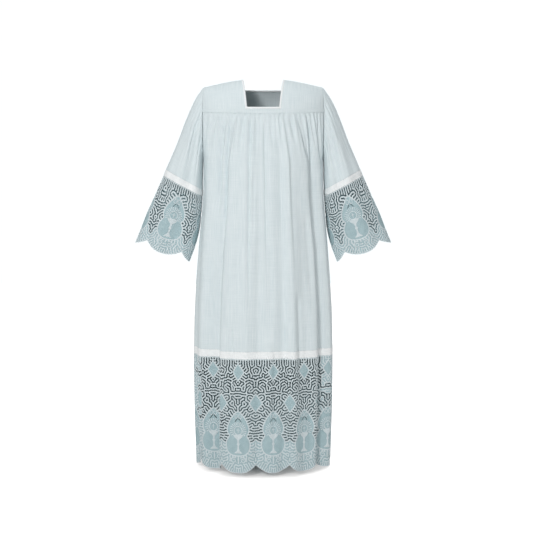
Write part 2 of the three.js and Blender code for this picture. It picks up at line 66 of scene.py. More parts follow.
# Body: half sizes of the rounded section at each height, and the heights of its foot and of the
# pieces under it.
ROUNDING = 2.4
BODY_FOOT = -976
HEM_BAND_FOOT = -1002
HEM_FOOT = -1416
BODY = {
    "z": (HEM_FOOT, -1200, HEM_BAND_FOOT, -830, -630, -424, -330, UNDERARM, -YOKE_DROP),
    "half_width": (252, 258, 259, 254, 240, 222, 219.9, 219.7, 219.7),
    "front": (186, 183, 180, 175, 164, 150, 142, 138, 118),
    "back": (185, 180, 175, 167, 152, 134, 126, 122, 108),
}

# The largest folds: where each runs, as a share of the panel from its own viewer's left, how far
# its two slopes reach, and its depth at the waist and at the hem.
FOLDS = {
    "front": (
        # top, foot, left, right, waist, hem, starts
        (0.07, 0.1, 16, 16, -5, -9, -240),
        (0.13, 0.175, 20, 20, 5, 8, -200),
        (0.27, 0.252, 50, 10, -20, -30, -135),
        (0.33, 0.325, 24, 32, 5, 8, -200),
        (0.415, 0.418, 34, 14, 7, 7, -130),
        (0.475, 0.475, 14, 28, -6, -9, -170),
        (0.6, 0.605, 22, 13, -8, -15, -150),
        (0.645, 0.655, 13, 20, 6, 9, -130),
        (0.72, 0.72, 22, 26, -6, -10, -300),
        (0.825, 0.812, 13, 28, -19, -29, -125),
        (0.89, 0.88, 18, 18, 6, 9, -220),
    ),
    "back": (
        (0.1, 0.12, 18, 22, -10, -18, -210),
        (0.2, 0.21, 24, 20, 6, 9, -170),
        (0.3, 0.31, 26, 14, -16, -27, -150),
        (0.4, 0.4, 22, 26, 6, 8, -230),
        (0.52, 0.53, 16, 28, -8, -16, -260),
        (0.63, 0.62, 26, 20, 6, 9, -180),
        (0.72, 0.71, 14, 26, -17, -27, -150),
        (0.82, 0.81, 20, 22, 6, 9, -220),
        (0.9, 0.89, 20, 18, -9, -16, -190),
    ),
}
FOLD_SETS_IN = 260
FOLD_WAIST = -400
FOLD_HEM = -1200
FOLD_EDGE_FADE = 30

# Smaller creases: from a place at its top to one at its foot (share of the panel,
# height), the reach of its two slopes, and its depth. A ridge has a positive depth. Each sets in
# over a length from a little above its top, and fades from a share of the way down.
CREASE_STRENGTH = 2.7
CREASE_SHARPNESS = 1.7
CREASE_STARTS_ABOVE = 12
CREASE_RUNS_ON = 30
CREASE_SETS_IN = 60
CREASE_SETS_IN_SHARE = 0.3
CREASE_FADES_FROM = 0.55
CREASES = {
    "front": (
        # top share, top, foot share, foot, left, right, depth
        (0.184, -142, 0.2, -262, 5, 9, -2.6),
        (0.125, -150, 0.12, -250, 6, 7, -1.6),
        (0.268, -132, 0.276, -620, 8, 4.5, -3.6),
        (0.222, -136, 0.215, -520, 12, 6, -4.6),
        (0.302, -128, 0.298, -420, 5, 9, 1.8),
        (0.345, -140, 0.35, -236, 5, 8, -1.6),
        (0.414, -132, 0.428, -900, 8, 4.5, -3.2),
        (0.443, -330, 0.448, -640, 9, 5, -1.6),
        (0.462, -140, 0.458, -238, 7, 7, -2.2),
        (0.508, -138, 0.52, -740, 4.5, 8, -2.4),
        (0.55, -134, 0.556, -220, 6, 6, -1.6),
        (0.607, -210, 0.612, -640, 10, 6, -1.4),
        (0.648, -132, 0.655, -520, 5, 8, 1.4),
        (0.664, -170, 0.672, -760, 4.5, 9, -1.4),
        (0.7, -140, 0.712, -215, 6, 5, -1.8),
        (0.762, -124, 0.79, -300, 5, 7, -3.0),
        (0.8, -128, 0.812, -620, 11, 4.5, -3.4),
        (0.836, -124, 0.819, -360, 4.5, 9, -5.0),
        (0.862, -130, 0.868, -226, 5, 5, -2.0),
        (0.925, -150, 0.915, -300, 7, 8, -2.2),
        (0.36, -520, 0.368, -820, 14, 12, -2.2),
        (0.54, -560, 0.53, -930, 16, 14, -2.0),
        (0.445, -380, 0.45, -700, 10, 18, 1.6),
        (0.755, -470, 0.765, -860, 14, 16, -2.4),
        (0.2, -620, 0.215, -940, 12, 16, -2.6),
        (0.68, -760, 0.69, -1180, 9, 12, -3.2),
        (0.34, -880, 0.345, -1330, 12, 9, -3.0),
        (0.56, -960, 0.555, -1400, 10, 12, -3.4),
        (0.15, -1020, 0.14, -1400, 9, 10, -3.0),
        (0.745, -1010, 0.75, -1400, 10, 9, -2.6),
    ),
    "back": (
        (0.15, -135, 0.162, -280, 6, 9, -2.8),
        (0.255, -128, 0.262, -330, 9, 5, -3.6),
        (0.345, -140, 0.34, -236, 5, 8, -1.8),
        (0.455, -132, 0.46, -420, 5, 7, -3.2),
        (0.53, -150, 0.528, -262, 5, 6, -2.6),
        (0.59, -134, 0.6, -300, 6, 6, -2.0),
        (0.672, -128, 0.668, -372, 6, 8, -3.4),
        (0.76, -140, 0.775, -255, 6, 5, -2.2),
        (0.86, -132, 0.85, -300, 5, 8, -2.6),
        (0.26, -560, 0.27, -900, 14, 12, -2.4),
        (0.46, -500, 0.455, -860, 12, 16, -2.2),
        (0.575, -640, 0.58, -960, 14, 14, -2.0),
        (0.77, -520, 0.76, -900, 14, 12, -2.6),
        (0.37, -900, 0.36, -1350, 10, 12, -3.0),
        (0.66, -940, 0.665, -1400, 12, 9, -3.2),
    ),
}

# Gathers where the panels are drawn up on to the yoke: each runs out between two lengths, and they
# sway by two waves, each a strength in gathers, a pace and a start.
GATHERS = 26
GATHER_AT_SEAM = 0.8
GATHER_PUFF = 1.0
GATHER_LENGTH = (55, 190)
GATHERS_END = 420
BROAD_SWAY = (0.22, 19.5, 1.3)
NARROW_SWAY = (0.16, 41.0, 0.4)

# The fine puckers between the gathers: the least of each measure, and the most that chance adds.
PUCKERS = 84
PUCKER_PLACE = (0.15, 0.7)
PUCKER_HALF = (2.4, 2.6)
PUCKER_DEPTH = (-0.6, -1.5)
PUCKER_LENGTH = (14, 86)
PUCKER_LEAN = 0.05

# The middle share of a panel's width, whose columns hang straight beside the armholes.
STRAIGHT_SHARE = 0.7

# Sleeve: an oval from its outer end to its inner end, one row for each section down the sleeve.
SLEEVE = {
    "outer_x": (220, 252, 285, 320, 358, 367, 400, 428, 452, 474),
    "outer_z": (-28, -75, -148, -240, -325, -347, -420, -480, -540, -594),
    "inner_x": (220, 221.2, 221.9, 222.6, 223.2, 224.2, 229.2, 235.6, 251, 274),
    "inner_z": (-290, -303, -325, -362, -400, -424, -487, -545, -605, -666),
    "half_depth": (60, 66, 70, 72, 73, 73, 71, 69, 67, 65),
    "widest": (0.355, 0.4, 0.44, 0.47, 0.5, 0.5, 0.5, 0.5, 0.5, 0.5),
}
# Rows of that table at which the band starts, the cuff starts and the cuff ends.
SLEEVE_BAND_TOP = 4
SLEEVE_BAND_FOOT = 5
CUFF_FOOT = 9
SLEEVE_ROUNDING = 2.2
SLEEVE_LENGTH = 320
SLEEVE_BAND_WIDTH = 23
SLEEVE_COLUMNS = 150
SLEEVE_ROWS = 92
# Sleeve folds run the sleeve's whole length, and have set in fully at this row.
SLEEVE_FOLDS_SET_IN = 2.5
SLEEVE_FOLDS = (
    # angle from the outer edge round the front, half width, depth
    (52, 14, -6),
    (78, 12, 5),
    (104, 12, -9),
    (132, 14, 5),
    (235, 15, 5),
    (262, 14, -9),
    (305, 16, -6),
)
# Smaller sleeve creases: angle at the armhole side, row there, angle at the foot, row there,
# half width in degrees, depth. The left sleeve's are turned by some degrees, so that the two differ.
SLEEVE_CREASE_STRENGTH = 1.5
LEFT_SLEEVE_SHIFT = 5
SLEEVE_CREASES = (
    (36, 0.1, 48, 1.6, 4.5, -2.2),
    (60, 0.05, 66, 2.6, 4.0, -2.6),
    (84, 0.1, 92, 3.4, 3.6, -3.0),
    (100, 0.15, 116, 2.2, 4.5, 1.8),
    (118, 0.2, 124, 3.9, 4.0, -2.8),
    (146, 0.3, 142, 2.0, 5.0, -1.8),
    (40, 1.8, 34, 3.8, 5.0, -2.0),
    (72, 2.2, 74, 3.9, 4.0, -1.8),
    (225, 0.1, 222, 2.2, 4.5, -2.2),
    (248, 0.1, 244, 3.2, 4.0, -2.4),
    (284, 0.1, 280, 2.6, 4.5, -2.4),
    (318, 0.1, 322, 1.8, 5.0, -1.8),
)

# Lace: one repeat of the hem, and the shorter repeat of the cuffs.
REPEAT = 134
LACE_DEPTH = 414
CUFF_LACE_DEPTH = 254
SCALLOP = 28
SCALLOP_SHARPNESS = 2.2
HEM_REPEATS = 6
CUFF_REPEATS = 2

# The studio, in metres, watts and degrees: each light's name, place, aim, width and power. The sky
# is brighter to the camera than as a light, and so is the floor, more and more between two
# distances from its middle.
LIGHTS = (
    ("key", (-1.2, -3.3, 0.85), (0, 0, -0.7), 0.8, 58),
    ("fill", (2.4, -2.6, -0.2), (0, 0, -0.7), 2.0, 6),
    ("top", (0.0, 0.1, 2.6), (0, 0, -1.4), 2.4, 26),
    ("back", (1.6, 3.2, 0.9), (0, 0, -0.7), 1.2, 50),
)
SKY_LIGHT = 0.37
SKY_TO_CAMERA = 0.71
FLOOR_HEIGHT = -1.43
FLOOR_SIZE = 14
FLOOR_BRIGHTENS = (0.04, 0.36)
FLOOR_GLOW = 0.85
CAMERA_PLACE = (0.012, -3.8, -0.38)
CAMERA_TILT = 4.58
CAMERA_LENS = 69.27
CAMERA_SENSOR = 36


def ramp(x, start, end):
    """0 before start, 1 after end, smooth between."""
    t = np.clip((x - start) / (end - start), 0, 1)
    return t * t * (3 - 2 * t)


def mix(a, b, t):
    """A value on the way from a to b."""
    return a + (b - a) * t


def hump(off, reach, power=2):
    """1 on a fold's own line, and next to nothing past twice its reach."""
    return np.exp(-(np.abs(off / reach) ** power))


def lengths_along(points):
    """How far each point of a line lies from its first."""
    return np.concatenate([[0], np.cumsum(np.linalg.norm(np.diff(points, axis=0), axis=1))])


def least_and_chance(measure, chance):
    """A measure that chance, from 0 to 1, adds to."""
    return measure[0] + measure[1] * chance


def signed_power(x, power):
    return np.sign(x) * np.abs(x) ** power


def between(keys, values, at):
    """A smooth value of one column of a table, between its rows."""
    keys, values = np.array(keys, float), np.array(values, float)
    last = len(keys) - 1
    above = np.minimum(np.arange(last + 1) + 1, last)
    below = np.maximum(np.arange(last + 1) - 1, 0)
    slope = (values[above] - values[below]) / (keys[above] - keys[below])
    i = np.clip(np.searchsorted(keys, at, side="right") - 1, 0, last - 1)
    run = keys[i + 1] - keys[i]
    rise = values[i + 1] - values[i]
    t = np.clip((at - keys[i]) / run, 0, 1)
    bend = (slope[i] * run - rise) * (1 - t) + (rise - slope[i + 1] * run) * t
    return values[i] + rise * t + t * (1 - t) * bend


def uneven(n):
    """A repeatable uneven value from 0 to 1 for the n-th of a row of like things."""
    s = np.sin(np.asarray(n) * 12.9898 + 4.1) * 43758.5453
    return s - np.floor(s)


def soft_noise(u, v, cell_u, cell_v, seed):
    """Smooth uneven values from -1 to 1, with bumps of about that size."""
    a, b = u / cell_u, v / cell_v
    i, j = np.floor(a), np.floor(b)
    s, t = ramp(a - i, 0, 1), ramp(b - j, 0, 1)
    # The multipliers only scatter the corners' values.
    corner = lambda di, dj: uneven((i + di) * 57.3 + (j + dj) * 131.7 + seed * 17.1)
    top = mix(corner(0, 0), corner(1, 0), s)
    foot = mix(corner(0, 1), corner(1, 1), s)
    return 2 * mix(top, foot, t) - 1


def armhole_half_depth(z):
    """Half the armhole's width at a height, which is nothing under the arm."""
    below = (-YOKE_DROP - z) / (-YOKE_DROP - UNDERARM)
    return 0.0 if below >= 1 else ARMHOLE_HALF_DEPTH * math.sqrt(1 - max(below, 0) ** 2)


class BodySection:
    """Half of the body's section at one height, from one side edge to the other."""

    def __init__(self, panel, z):
        self.panel = panel
        self.z = z
        self.outwards = -SIDE[panel]
        self.depth = float(between(BODY["z"], BODY[panel], z))
        self.edge = math.acos((armhole_half_depth(z) / self.depth) ** (ROUNDING / 2))
        half_width = float(between(BODY["z"], BODY["half_width"], z))
        self.width = half_width / math.sin(self.edge) ** (2 / ROUNDING)
        self.turns = np.linspace(0, 1, 601)
        x, y = self.plain(self.turns)
        self.arc = np.concatenate([[0], np.cumsum(np.hypot(np.diff(x), np.diff(y)))])
        self.length = self.arc[-1]

    def plain(self, turn):
        """Points of the section without folds: turn runs from 0 at one side edge to 1 at the other."""
        angle = (2 * turn - 1) * self.edge
        across = signed_power(np.sin(angle), 2 / ROUNDING) * self.width
        out = np.maximum(np.cos(angle), 0) ** (2 / ROUNDING) * self.depth
        return -self.outwards * across, self.outwards * out

    def column_place(self, share):
        """Beside the armholes the outer columns close up, and the others hang straight."""
        if self.z <= UNDERARM:
            return share
        below = (-YOKE_DROP - self.z) / (-YOKE_DROP - UNDERARM)
        stretch = mix(UNCUT[self.panel][0], UNCUT[self.panel][1], below) / self.length
        off = np.abs(2 * share - 1)
        straight = STRAIGHT_SHARE * stretch
        outer = mix(straight, 1, (off - STRAIGHT_SHARE) / (1 - STRAIGHT_SHARE))
        place = np.where(off < STRAIGHT_SHARE, off * stretch, outer)
        return np.clip(0.5 + np.sign(share - 0.5) * place / 2, 0, 1)

    def cloth(self, share):
        """Points of the folded cloth at shares of the panel's width."""
        turn = np.interp(self.column_place(share) * self.length, self.arc, self.turns)
        x, y = self.plain(turn)
        step = 1e-4
        x0, y0 = self.plain(np.maximum(turn - step, 0))
        x1, y1 = self.plain(np.minimum(turn + step, 1))
        along = np.stack([x1 - x0, y1 - y0])
        along /= np.hypot(*along)
        out = fold_height(self.panel, share, self.z, self.length)
        return np.stack([x + along[1] * out, y - along[0] * out, np.full_like(x, self.z)], axis=-1)

    def even_cloth(self, share):
        """Points of the cloth that are evenly spaced along it."""
        dense = np.linspace(0, 1, 901)
        arc = lengths_along(self.cloth(dense))
        return self.cloth(np.interp(share * arc[-1], arc, dense))


def line_height(share, z, width, top, high, foot, low, left, right, depth):
    """A soft trough or ridge along a slanting line, tapering out at both its ends."""
    length = high - low
    down = np.clip((high - z) / length, 0, 1)
    off = (share - mix(top, foot, down)) * width
    sets_in = min(CREASE_SETS_IN, length * CREASE_SETS_IN_SHARE)
    fade_top = ramp(high - z, -CREASE_STARTS_ABOVE, sets_in)
    fade_foot = 1 - ramp(high - z, length * CREASE_FADES_FROM, length + CREASE_RUNS_ON)
    slope = hump(off, np.where(off < 0, left, right), CREASE_SHARPNESS)
    return CREASE_STRENGTH * depth * fade_top * fade_foot * slope


def fold_height(panel, share, z, width):
    """How far the cloth stands off its plain section, from gathers, puckers, folds and creases."""
    below = -YOKE_DROP - z
    edge = ramp(np.minimum(share, 1 - share) * width, 0, FOLD_EDGE_FADE)
    out = gather_height(panel, share, below, width) if below < GATHERS_END else np.zeros_like(share)
    down = (z + YOKE_DROP) / (HEM_FOOT + YOKE_DROP)
    for top, foot, left, right, waist, hem, starts in FOLDS[panel]:
        off = (share - mix(top, foot, down)) * width
        depth = mix(waist, hem, ramp(-z, -FOLD_WAIST, -FOLD_HEM))
        reach = np.where(off < 0, left, right)
        out = out + depth * ramp(starts - z, 0, FOLD_SETS_IN) * hump(off, reach)
    for crease in CREASES[panel]:
        high, low = crease[1], crease[3]
        if low - CREASE_RUNS_ON < z < high + CREASE_STARTS_ABOVE:
            out = out + line_height(share, z, width, *crease)
    return out * edge


def gather_height(panel, share, below, width):
    """The gathers under the yoke's band: main ones, and finer puckers close to the seam."""
    first = 0 if panel == "front" else GATHERS
    broad, broad_pace, broad_start = BROAD_SWAY
    narrow, narrow_pace, narrow_start = NARROW_SWAY
    sway = broad * np.sin(share * broad_pace + broad_start)
    sway = sway + narrow * np.sin(share * narrow_pace + narrow_start + first)
    place = share * GATHERS + sway * ramp(below, -1, 12)
    cell = np.floor(place - 0.5)
    blend = ramp(place - 0.5 - cell, 0, 1)
    chance = lambda draw: mix(uneven(cell + first + draw), uneven(cell + 1 + first + draw), blend)
    reach = mix(GATHER_LENGTH[0], GATHER_LENGTH[1], chance(0))
    height = GATHER_AT_SEAM + GATHER_PUFF * ramp(below, 0, 25) * (0.5 + chance(71))
    out = height * hump(below, reach) * np.cos(2 * np.pi * place)
    n = np.arange(PUCKERS) + (0 if panel == "front" else 500)
    centre = (np.arange(PUCKERS) + least_and_chance(PUCKER_PLACE, uneven(n))) / PUCKERS
    half = least_and_chance(PUCKER_HALF, uneven(n + 211))
    depth = least_and_chance(PUCKER_DEPTH, uneven(n + 307))
    length = least_and_chance(PUCKER_LENGTH, uneven(n + 401) ** 2)
    lean = (uneven(n + 503) - 0.5) * PUCKER_LEAN * below
    off = (share[:, None] - centre) * width - lean
    strength = depth * ramp(below, -2, 5) * hump(below, length)
    return out + (strength * hump(off, half)).sum(axis=1)


# Length of each panel's section where the armholes start and where they end.
UNCUT = {panel: [BodySection(panel, z).length for z in (-YOKE_DROP, UNDERARM)] for panel in NECK}


def seam_sag(x):
    """How far the yoke's foot sags below its ends."""
    return YOKE_SAG * np.maximum(0, 1 - (x / SHOULDER_HALF) ** 2)


def grid_normals(points, closed=False):
    """Unit normals of a grid whose rows run down and whose columns run anticlockwise."""
    down = np.empty_like(points)
    down[1:-1] = points[2:] - points[:-2]
    down[0] = points[1] - points[0]
    down[-1] = points[-1] - points[-2]
    along = np.empty_like(points)
    along[:, 1:-1] = points[:, 2:] - points[:, :-2]
    if closed:
        along[:, 0] = along[:, -1] = points[:, 1] - points[:, -2]
    else:
        along[:, 0] = points[:, 1] - points[:, 0]
        along[:, -1] = points[:, -1] - points[:, -2]
    normal = np.cross(down, along)
    return normal / np.maximum(np.linalg.norm(normal, axis=-1, keepdims=True), 1e-9)


# Materials

def colour(code):
    """An sRGB hex colour as a linear one."""
    parts = [int(code[i:i + 2], 16) / 255 for i in (0, 2, 4)]
    return [c / 12.92 if c <= 0.04045 else ((c + 0.055) / 1.055) ** 2.4 for c in parts] + [1]


def add(tree, kind, inputs=(), **settings):
    """Adds a node with its settings and its inputs, each a fixed value or the socket that feeds it."""
    node = tree.nodes.new(kind)
    for key, value in settings.items():
        setattr(node, key, value)
    for key, value in dict(inputs).items():
        if isinstance(value, bpy.types.NodeSocket):
            tree.links.new(value, node.inputs[key])
        else:
            node.inputs[key].default_value = value
    return node


def new_material(name):
    """An empty material, its nodes, and the piece's own map."""
    material = bpy.data.materials.new(name)
    material.use_nodes = True
    tree = material.node_tree
    tree.nodes.clear()
    uv = add(tree, "ShaderNodeUVMap", uv_map="cloth").outputs["UV"]
    return material, tree, uv


def streaks(tree, uv, across, along, detail=2.0):
    """Noise whose grain is `across` wide and `along` long, in millimetres."""
    scale = (1 / (across * MM), 1 / (along * MM), 1)
    placed = add(tree, "ShaderNodeMapping", {"Vector": uv, "Scale": scale}).outputs["Vector"]
    noise = add(tree, "ShaderNodeTexNoise", {"Vector": placed, "Scale": 1.0, "Detail": detail})
    return noise.outputs["Fac"]


def threads(tree, uv, spacing, direction):
    """Parallel threads at that spacing, in millimetres."""
    per_turn = 2 * math.pi / 20  # the wave texture's own scale
    scale = per_turn / (spacing * MM)
    wave = add(tree, "ShaderNodeTexWave",
               {"Vector": uv, "Scale": scale, "Distortion": 0.6, "Detail": 1.0, "Detail Scale": 0.3},
               wave_type="BANDS", bands_direction=direction)
    return wave.outputs["Fac"]


def weighted(tree, *parts):
    """Patterns laid over each other, each as strongly as its weight says."""
    total = None
    for pattern, weight in parts:
        share = add(tree, "ShaderNodeMath", {0: pattern, 1: weight}, operation="MULTIPLY").outputs["Value"]
        if total is not None:
            share = add(tree, "ShaderNodeMath", {0: total, 1: share}, operation="ADD").outputs["Value"]
        total = share
    return total


def two_tone(tree, factor, low, high, dark, light):
    """A colour between two hex values, as the factor goes from low to high."""
    spread = add(tree, "ShaderNodeMapRange", {"Value": factor, "From Min": low, "From Max": high})
    tone = add(tree, "ShaderNodeMix",
               {"Factor": spread.outputs["Result"], "A": colour(dark), "B": colour(light)},
               data_type="RGBA")
    return tone.outputs["Result"]


def cloth_shader(tree, tone, height, depth, roughness, sheen):
    """A matt cloth of that colour, with relief as deep as that in millimetres."""
    bump = add(tree, "ShaderNodeBump", {"Height": height, "Strength": 1.0, "Distance": depth * MM})
    shader = add(tree, "ShaderNodeBsdfPrincipled",
                 {"Base Color": tone, "Normal": bump.outputs["Normal"], "Roughness": roughness,
                  "IOR": 1.47, "Sheen Weight": sheen, "Sheen Roughness": 0.5,
                  "Specular IOR Level": 0.2})
    add(tree, "ShaderNodeOutputMaterial", {"Surface": shader.outputs["BSDF"]})


def make_linen():
    # Plain-woven cotton-linen, washed and pressed: matt, cool white, with thicker and thinner
    # threads that show as fine streaks both ways. The threads are drawn 1.3 mm apart, where the
    # real ones are about 0.5 mm, so that the weave shows.
    material, tree, uv = new_material("plain_woven_linen")
    warp = streaks(tree, uv, 2.4, 95)
    weft = streaks(tree, uv, 70, 2.0)
    patch = streaks(tree, uv, 60, 60)
    slub = weighted(tree, (warp, 0.55), (weft, 0.3), (patch, 0.15))
    tone = two_tone(tree, slub, 0.36, 0.64, "d5e0e3", "e4ecee")
    weave = weighted(tree, (threads(tree, uv, 1.3, "X"), 1), (threads(tree, uv, 1.3, "Y"), 1))
    height = weighted(tree, (weave, 0.15), (slub, 0.7))
    cloth_shader(tree, tone, height, 0.4, 0.88, 0.08)
    return material


def make_tape():
    # Bleached cotton tape and binding, close-woven and pressed: the whitest cloth here, matt,
    # with fine ribs along it.
    material, tree, uv = new_material("bleached_cotton_tape")
    grain = streaks(tree, uv, 30, 1.6)
    cross = streaks(tree, uv, 1.8, 12)
    worn = weighted(tree, (grain, 0.6), (cross, 0.4))
    tone = two_tone(tree, worn, 0.34, 0.66, "eff4f5", "ffffff")
    height = weighted(tree, (threads(tree, uv, 1.1, "Y"), 1), (worn, 1))
    cloth_shader(tree, tone, height, 0.16, 0.8, 0.05)
    return material


def make_lace_tape():
    # Woven lace tape, cotton: slightly greyer than the linen, matt, ribbed across, with the
    # edges of its loops a little darker where they turn down to the ground.
    material, tree, uv = new_material("woven_lace_tape")
    grain = streaks(tree, uv, 6, 6, 3.0)
    fine = streaks(tree, uv, 1.2, 1.2)
    worn = weighted(tree, (grain, 0.5), (fine, 0.5))
    tone = two_tone(tree, worn, 0.36, 0.64, "cedadd", "e3ebee")
    height = weighted(tree, (threads(tree, uv, 1.0, "DIAGONAL"), 1), (fine, 1))
    cloth_shader(tree, tone, height, 0.25, 0.85, 0.05)
    return material


def make_net_with_painted_shade():
    # Fine cotton net, machine-made: closed to the eye at this size. Its cool grey is partly its own colour
    # and partly painted shade, for the shade that shows through the thin net.
    # Its six-sided meshes are drawn 2.2 mm wide, where the real ones are about 1 mm.
    material, tree, uv = new_material("fine_cotton_net_with_painted_shade")
    mesh = add(tree, "ShaderNodeTexVoronoi",
               {"Vector": uv, "Scale": 1 / (2.2 * MM), "Randomness": 0.25},
               feature="DISTANCE_TO_EDGE", voronoi_dimensions="2D").outputs["Distance"]
    patch = streaks(tree, uv, 18, 18)
    # Painted shade: the holes between the threads are darker than the threads.
    tone = two_tone(tree, mesh, 0.06, 0.2, "c4d6da", "a0b9be")
    shade = two_tone(tree, patch, 0.3, 0.7, "eef2f3", "ffffff")
    tinted = add(tree, "ShaderNodeMix", {"A": tone, "B": shade, "Factor": 1.0}, data_type="RGBA",
                 blend_type="MULTIPLY").outputs["Result"]
    height = weighted(tree, (mesh, -1))
    cloth_shader(tree, tinted, height, 0.3, 0.9, 0.0)
    return material


LINEN = make_linen()
TAPE_CLOTH = make_tape()
LACE_TAPE = make_lace_tape()
NET_WITH_PAINTED_SHADE = make_net_with_painted_shade()


# Pieces

def dress(piece, node, materials, smooth):
    """Finishes a piece: its materials, its smooth shading, and what it stands for."""
    for material in materials:
        piece.data.materials.append(material)
    bpy.ops.object.select_all(action="DESELECT")
    piece.select_set(True)
    bpy.context.view_layer.objects.active = piece
    bpy.ops.object.shade_smooth_by_angle(angle=math.radians(smooth))
    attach(piece, "root")
    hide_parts(node)
    bpy.ops.object.select_all(action="DESELECT")
    return piece


def sewn(node, slot, material, points, smooth=50, **grid):
    """A piece of linen or tape, from the points of its outer face."""
    ending, thickness = ("_cloth", CLOTH) if slot == "linen" else ("_tape", TAPE)
    piece = cloth_grid(node + ending, points, thickness, **grid)
    return dress(piece, node, [material], smooth)


def cloth_grid(name, points, thickness, closed=False, keep=None):
    """A cloth wall from a grid of points on its outer face, in millimetres."""
    rows, columns = points.shape[:2]
    bpy.ops.mesh.primitive_grid_add(x_subdivisions=columns - 1, y_subdivisions=rows - 1, size=1)
    piece = bpy.context.object
    piece.name = piece.data.name = name
    mesh = piece.data
    mesh.vertices.foreach_set("co", (points[::-1].reshape(-1, 3) * MM).astype(np.float32).ravel())
    set_uv(mesh, flat_uv(points)[::-1].reshape(-1, 2) * MM)
    if keep is not None:
        remove_cells(piece, ~keep[::-1].ravel())
    if closed:
        bpy.ops.object.mode_set(mode="EDIT")
        bpy.ops.mesh.select_all(action="SELECT")
        bpy.ops.mesh.remove_doubles(threshold=0.01 * MM)
        bpy.ops.object.mode_set(mode="OBJECT")
    wall = piece.modifiers.new("wall", "SOLIDIFY")
    wall.thickness = thickness * MM
    wall.offset = -1
    wall.use_even_offset = False
    bpy.ops.object.modifier_apply(modifier=wall.name)
    mesh.update()
    return piece


def set_uv(mesh, per_vertex):
    """The piece's own map: metres along the cloth and down it."""
    while mesh.uv_layers:
        mesh.uv_layers.remove(mesh.uv_layers[0])
    layer = mesh.uv_layers.new(name="cloth")
    corners = np.empty(len(mesh.loops), np.int32)
    mesh.loops.foreach_get("vertex_index", corners)
    layer.data.foreach_set("uv", per_vertex[corners].astype(np.float32).ravel())


def remove_cells(piece, unwanted):
    """Removes the grid's cells that hold no cloth."""
    bpy.ops.object.mode_set(mode="EDIT")
    bpy.ops.mesh.select_mode(type="FACE")
    bpy.ops.mesh.select_all(action="DESELECT")
    bpy.ops.object.mode_set(mode="OBJECT")
    piece.data.polygons.foreach_set("select", unwanted)
    bpy.ops.object.mode_set(mode="EDIT")
    bpy.ops.mesh.delete(type="FACE")
    bpy.ops.object.mode_set(mode="OBJECT")


def flat_uv(points):
    """Distances along and down a grid of cloth, in millimetres."""
    along = np.linalg.norm(np.diff(points, axis=1), axis=-1)
    middle = np.concatenate([np.zeros((len(points), 1)), np.cumsum(along, axis=1)], axis=1)
    middle = middle - middle[:, [points.shape[1] // 2]]
    down = np.linalg.norm(np.diff(points, axis=0), axis=-1).mean(axis=1)
    heights = np.concatenate([[0], np.cumsum(down)])
    return np.stack([middle, np.broadcast_to(-heights[:, None], middle.shape)], axis=-1)


def crumple(points, normals, seed, fade):
    """Soft wrinkles left from wear and folding."""
    u = np.cumsum(np.linalg.norm(np.diff(points, axis=1, prepend=points[:, :1]), axis=-1), axis=1)
    z = points[..., 2]
    height = 0.6 * soft_noise(u, z, 46, 105, seed) + 0.28 * soft_noise(u, z, 21, 38, seed + 5)
    height = height + 0.16 * soft_noise(u + 0.5 * z, z, 13, 22, seed + 9)
    return points + normals * (height * fade)[..., None]


BODY_ROWS = 110
BODY_COLUMNS = {"front": 250, "back": 200}
BODY_WIDTH = 640  # a panel's width in the mean, for what fades towards its side seams
CRUMPLE_SEED = {"front": 3, "back": 11}
SAG_FADE = 120  # how far down the yoke seam's sag dies out


def make_body(panel):
    """The gathered front or back panel."""
    top, foot = -YOKE_DROP - SEAM, BODY_FOOT + SEAM / 2
    levels = mix(top, foot, np.linspace(0, 1, BODY_ROWS) ** 1.3)
    rows = []
    for z in levels:
        section = BodySection(panel, z)
        clear = SEAM / 2 / section.length
        points = section.cloth(np.linspace(clear, 1 - clear, BODY_COLUMNS[panel] + 1))
        points[:, 2] -= seam_sag(points[:, 0]) * math.exp(-((-YOKE_DROP - z) / SAG_FADE))
        rows.append(points)
    points = np.array(rows)
    down = -YOKE_DROP - levels[:, None]
    share = np.linspace(0, 1, BODY_COLUMNS[panel] + 1)[None, :]
    side = np.minimum(share, 1 - share) * BODY_WIDTH
    fade = ramp(down, 6, 70) * ramp(side, 2, 25)
    points = crumple(points, grid_normals(points), CRUMPLE_SEED[panel], fade)
    # The cloth turns in at its side seams and where it is sewn under the yoke's band.
    inset = 0.9 * hump(side, 3) + 0.8 * hump(down, 2.5)
    points = points - grid_normals(points) * inset[..., None]
    return sewn("body_" + panel, "linen", LINEN, points)


def yoke_surface(panel, x, angle):
    """Points of the yoke: angle runs from the shoulder seam over the chest or the back."""
    side = SIDE[panel]
    section = YOKE_SECTION[panel]
    past = np.maximum(0, (np.abs(x) - NECK_HALF_TOP) / (SHOULDER_HALF - NECK_HALF_TOP))
    ridge = -SHOULDER_FALL * past ** 1.3
    wide = np.minimum(np.abs(x) / section.width, 1)
    depth = section.depth * (1 - wide ** ROUNDING) ** (1 / ROUNDING)
    y = -side * depth * np.sin(angle) - side * SEAM * 0.5 * np.cos(angle)
    z = -YOKE_DROP + (ridge + YOKE_DROP) * np.cos(angle) - seam_sag(x) * np.sin(angle) ** 2
    return np.stack(np.broadcast_arrays(x, y, z), axis=-1)


YOKE_SECTION = {panel: BodySection(panel, -YOKE_DROP) for panel in NECK}
SEAM_X = SHOULDER_HALF - SEAM
# Cells of the yoke's grid: down to the neck's foot, on from there, along a shoulder, across the neck.
ABOVE_NECK = 25
BELOW_NECK = {"front": 11, "back": 29}
ALONG_SHOULDER = 30
ACROSS_NECK = 24
# Millimetres of cloth to one radian of the yoke's angle: near the shoulder seam, near the foot, and
# in the mean, for the wrinkles.
RIDGE_RADIUS = 110
FOOT_RADIUS = 118
WRINKLE_RADIUS = 120
YOKE_SEED = {"front": 3, "back": 9}


def yoke_angles(panel):
    """The yoke's angles at the foot of the neck and at the top of the band."""
    return math.acos(1 - NECK[panel]["drop"] / YOKE_DROP), math.acos(YOKE_BAND_WIDTH / YOKE_DROP)


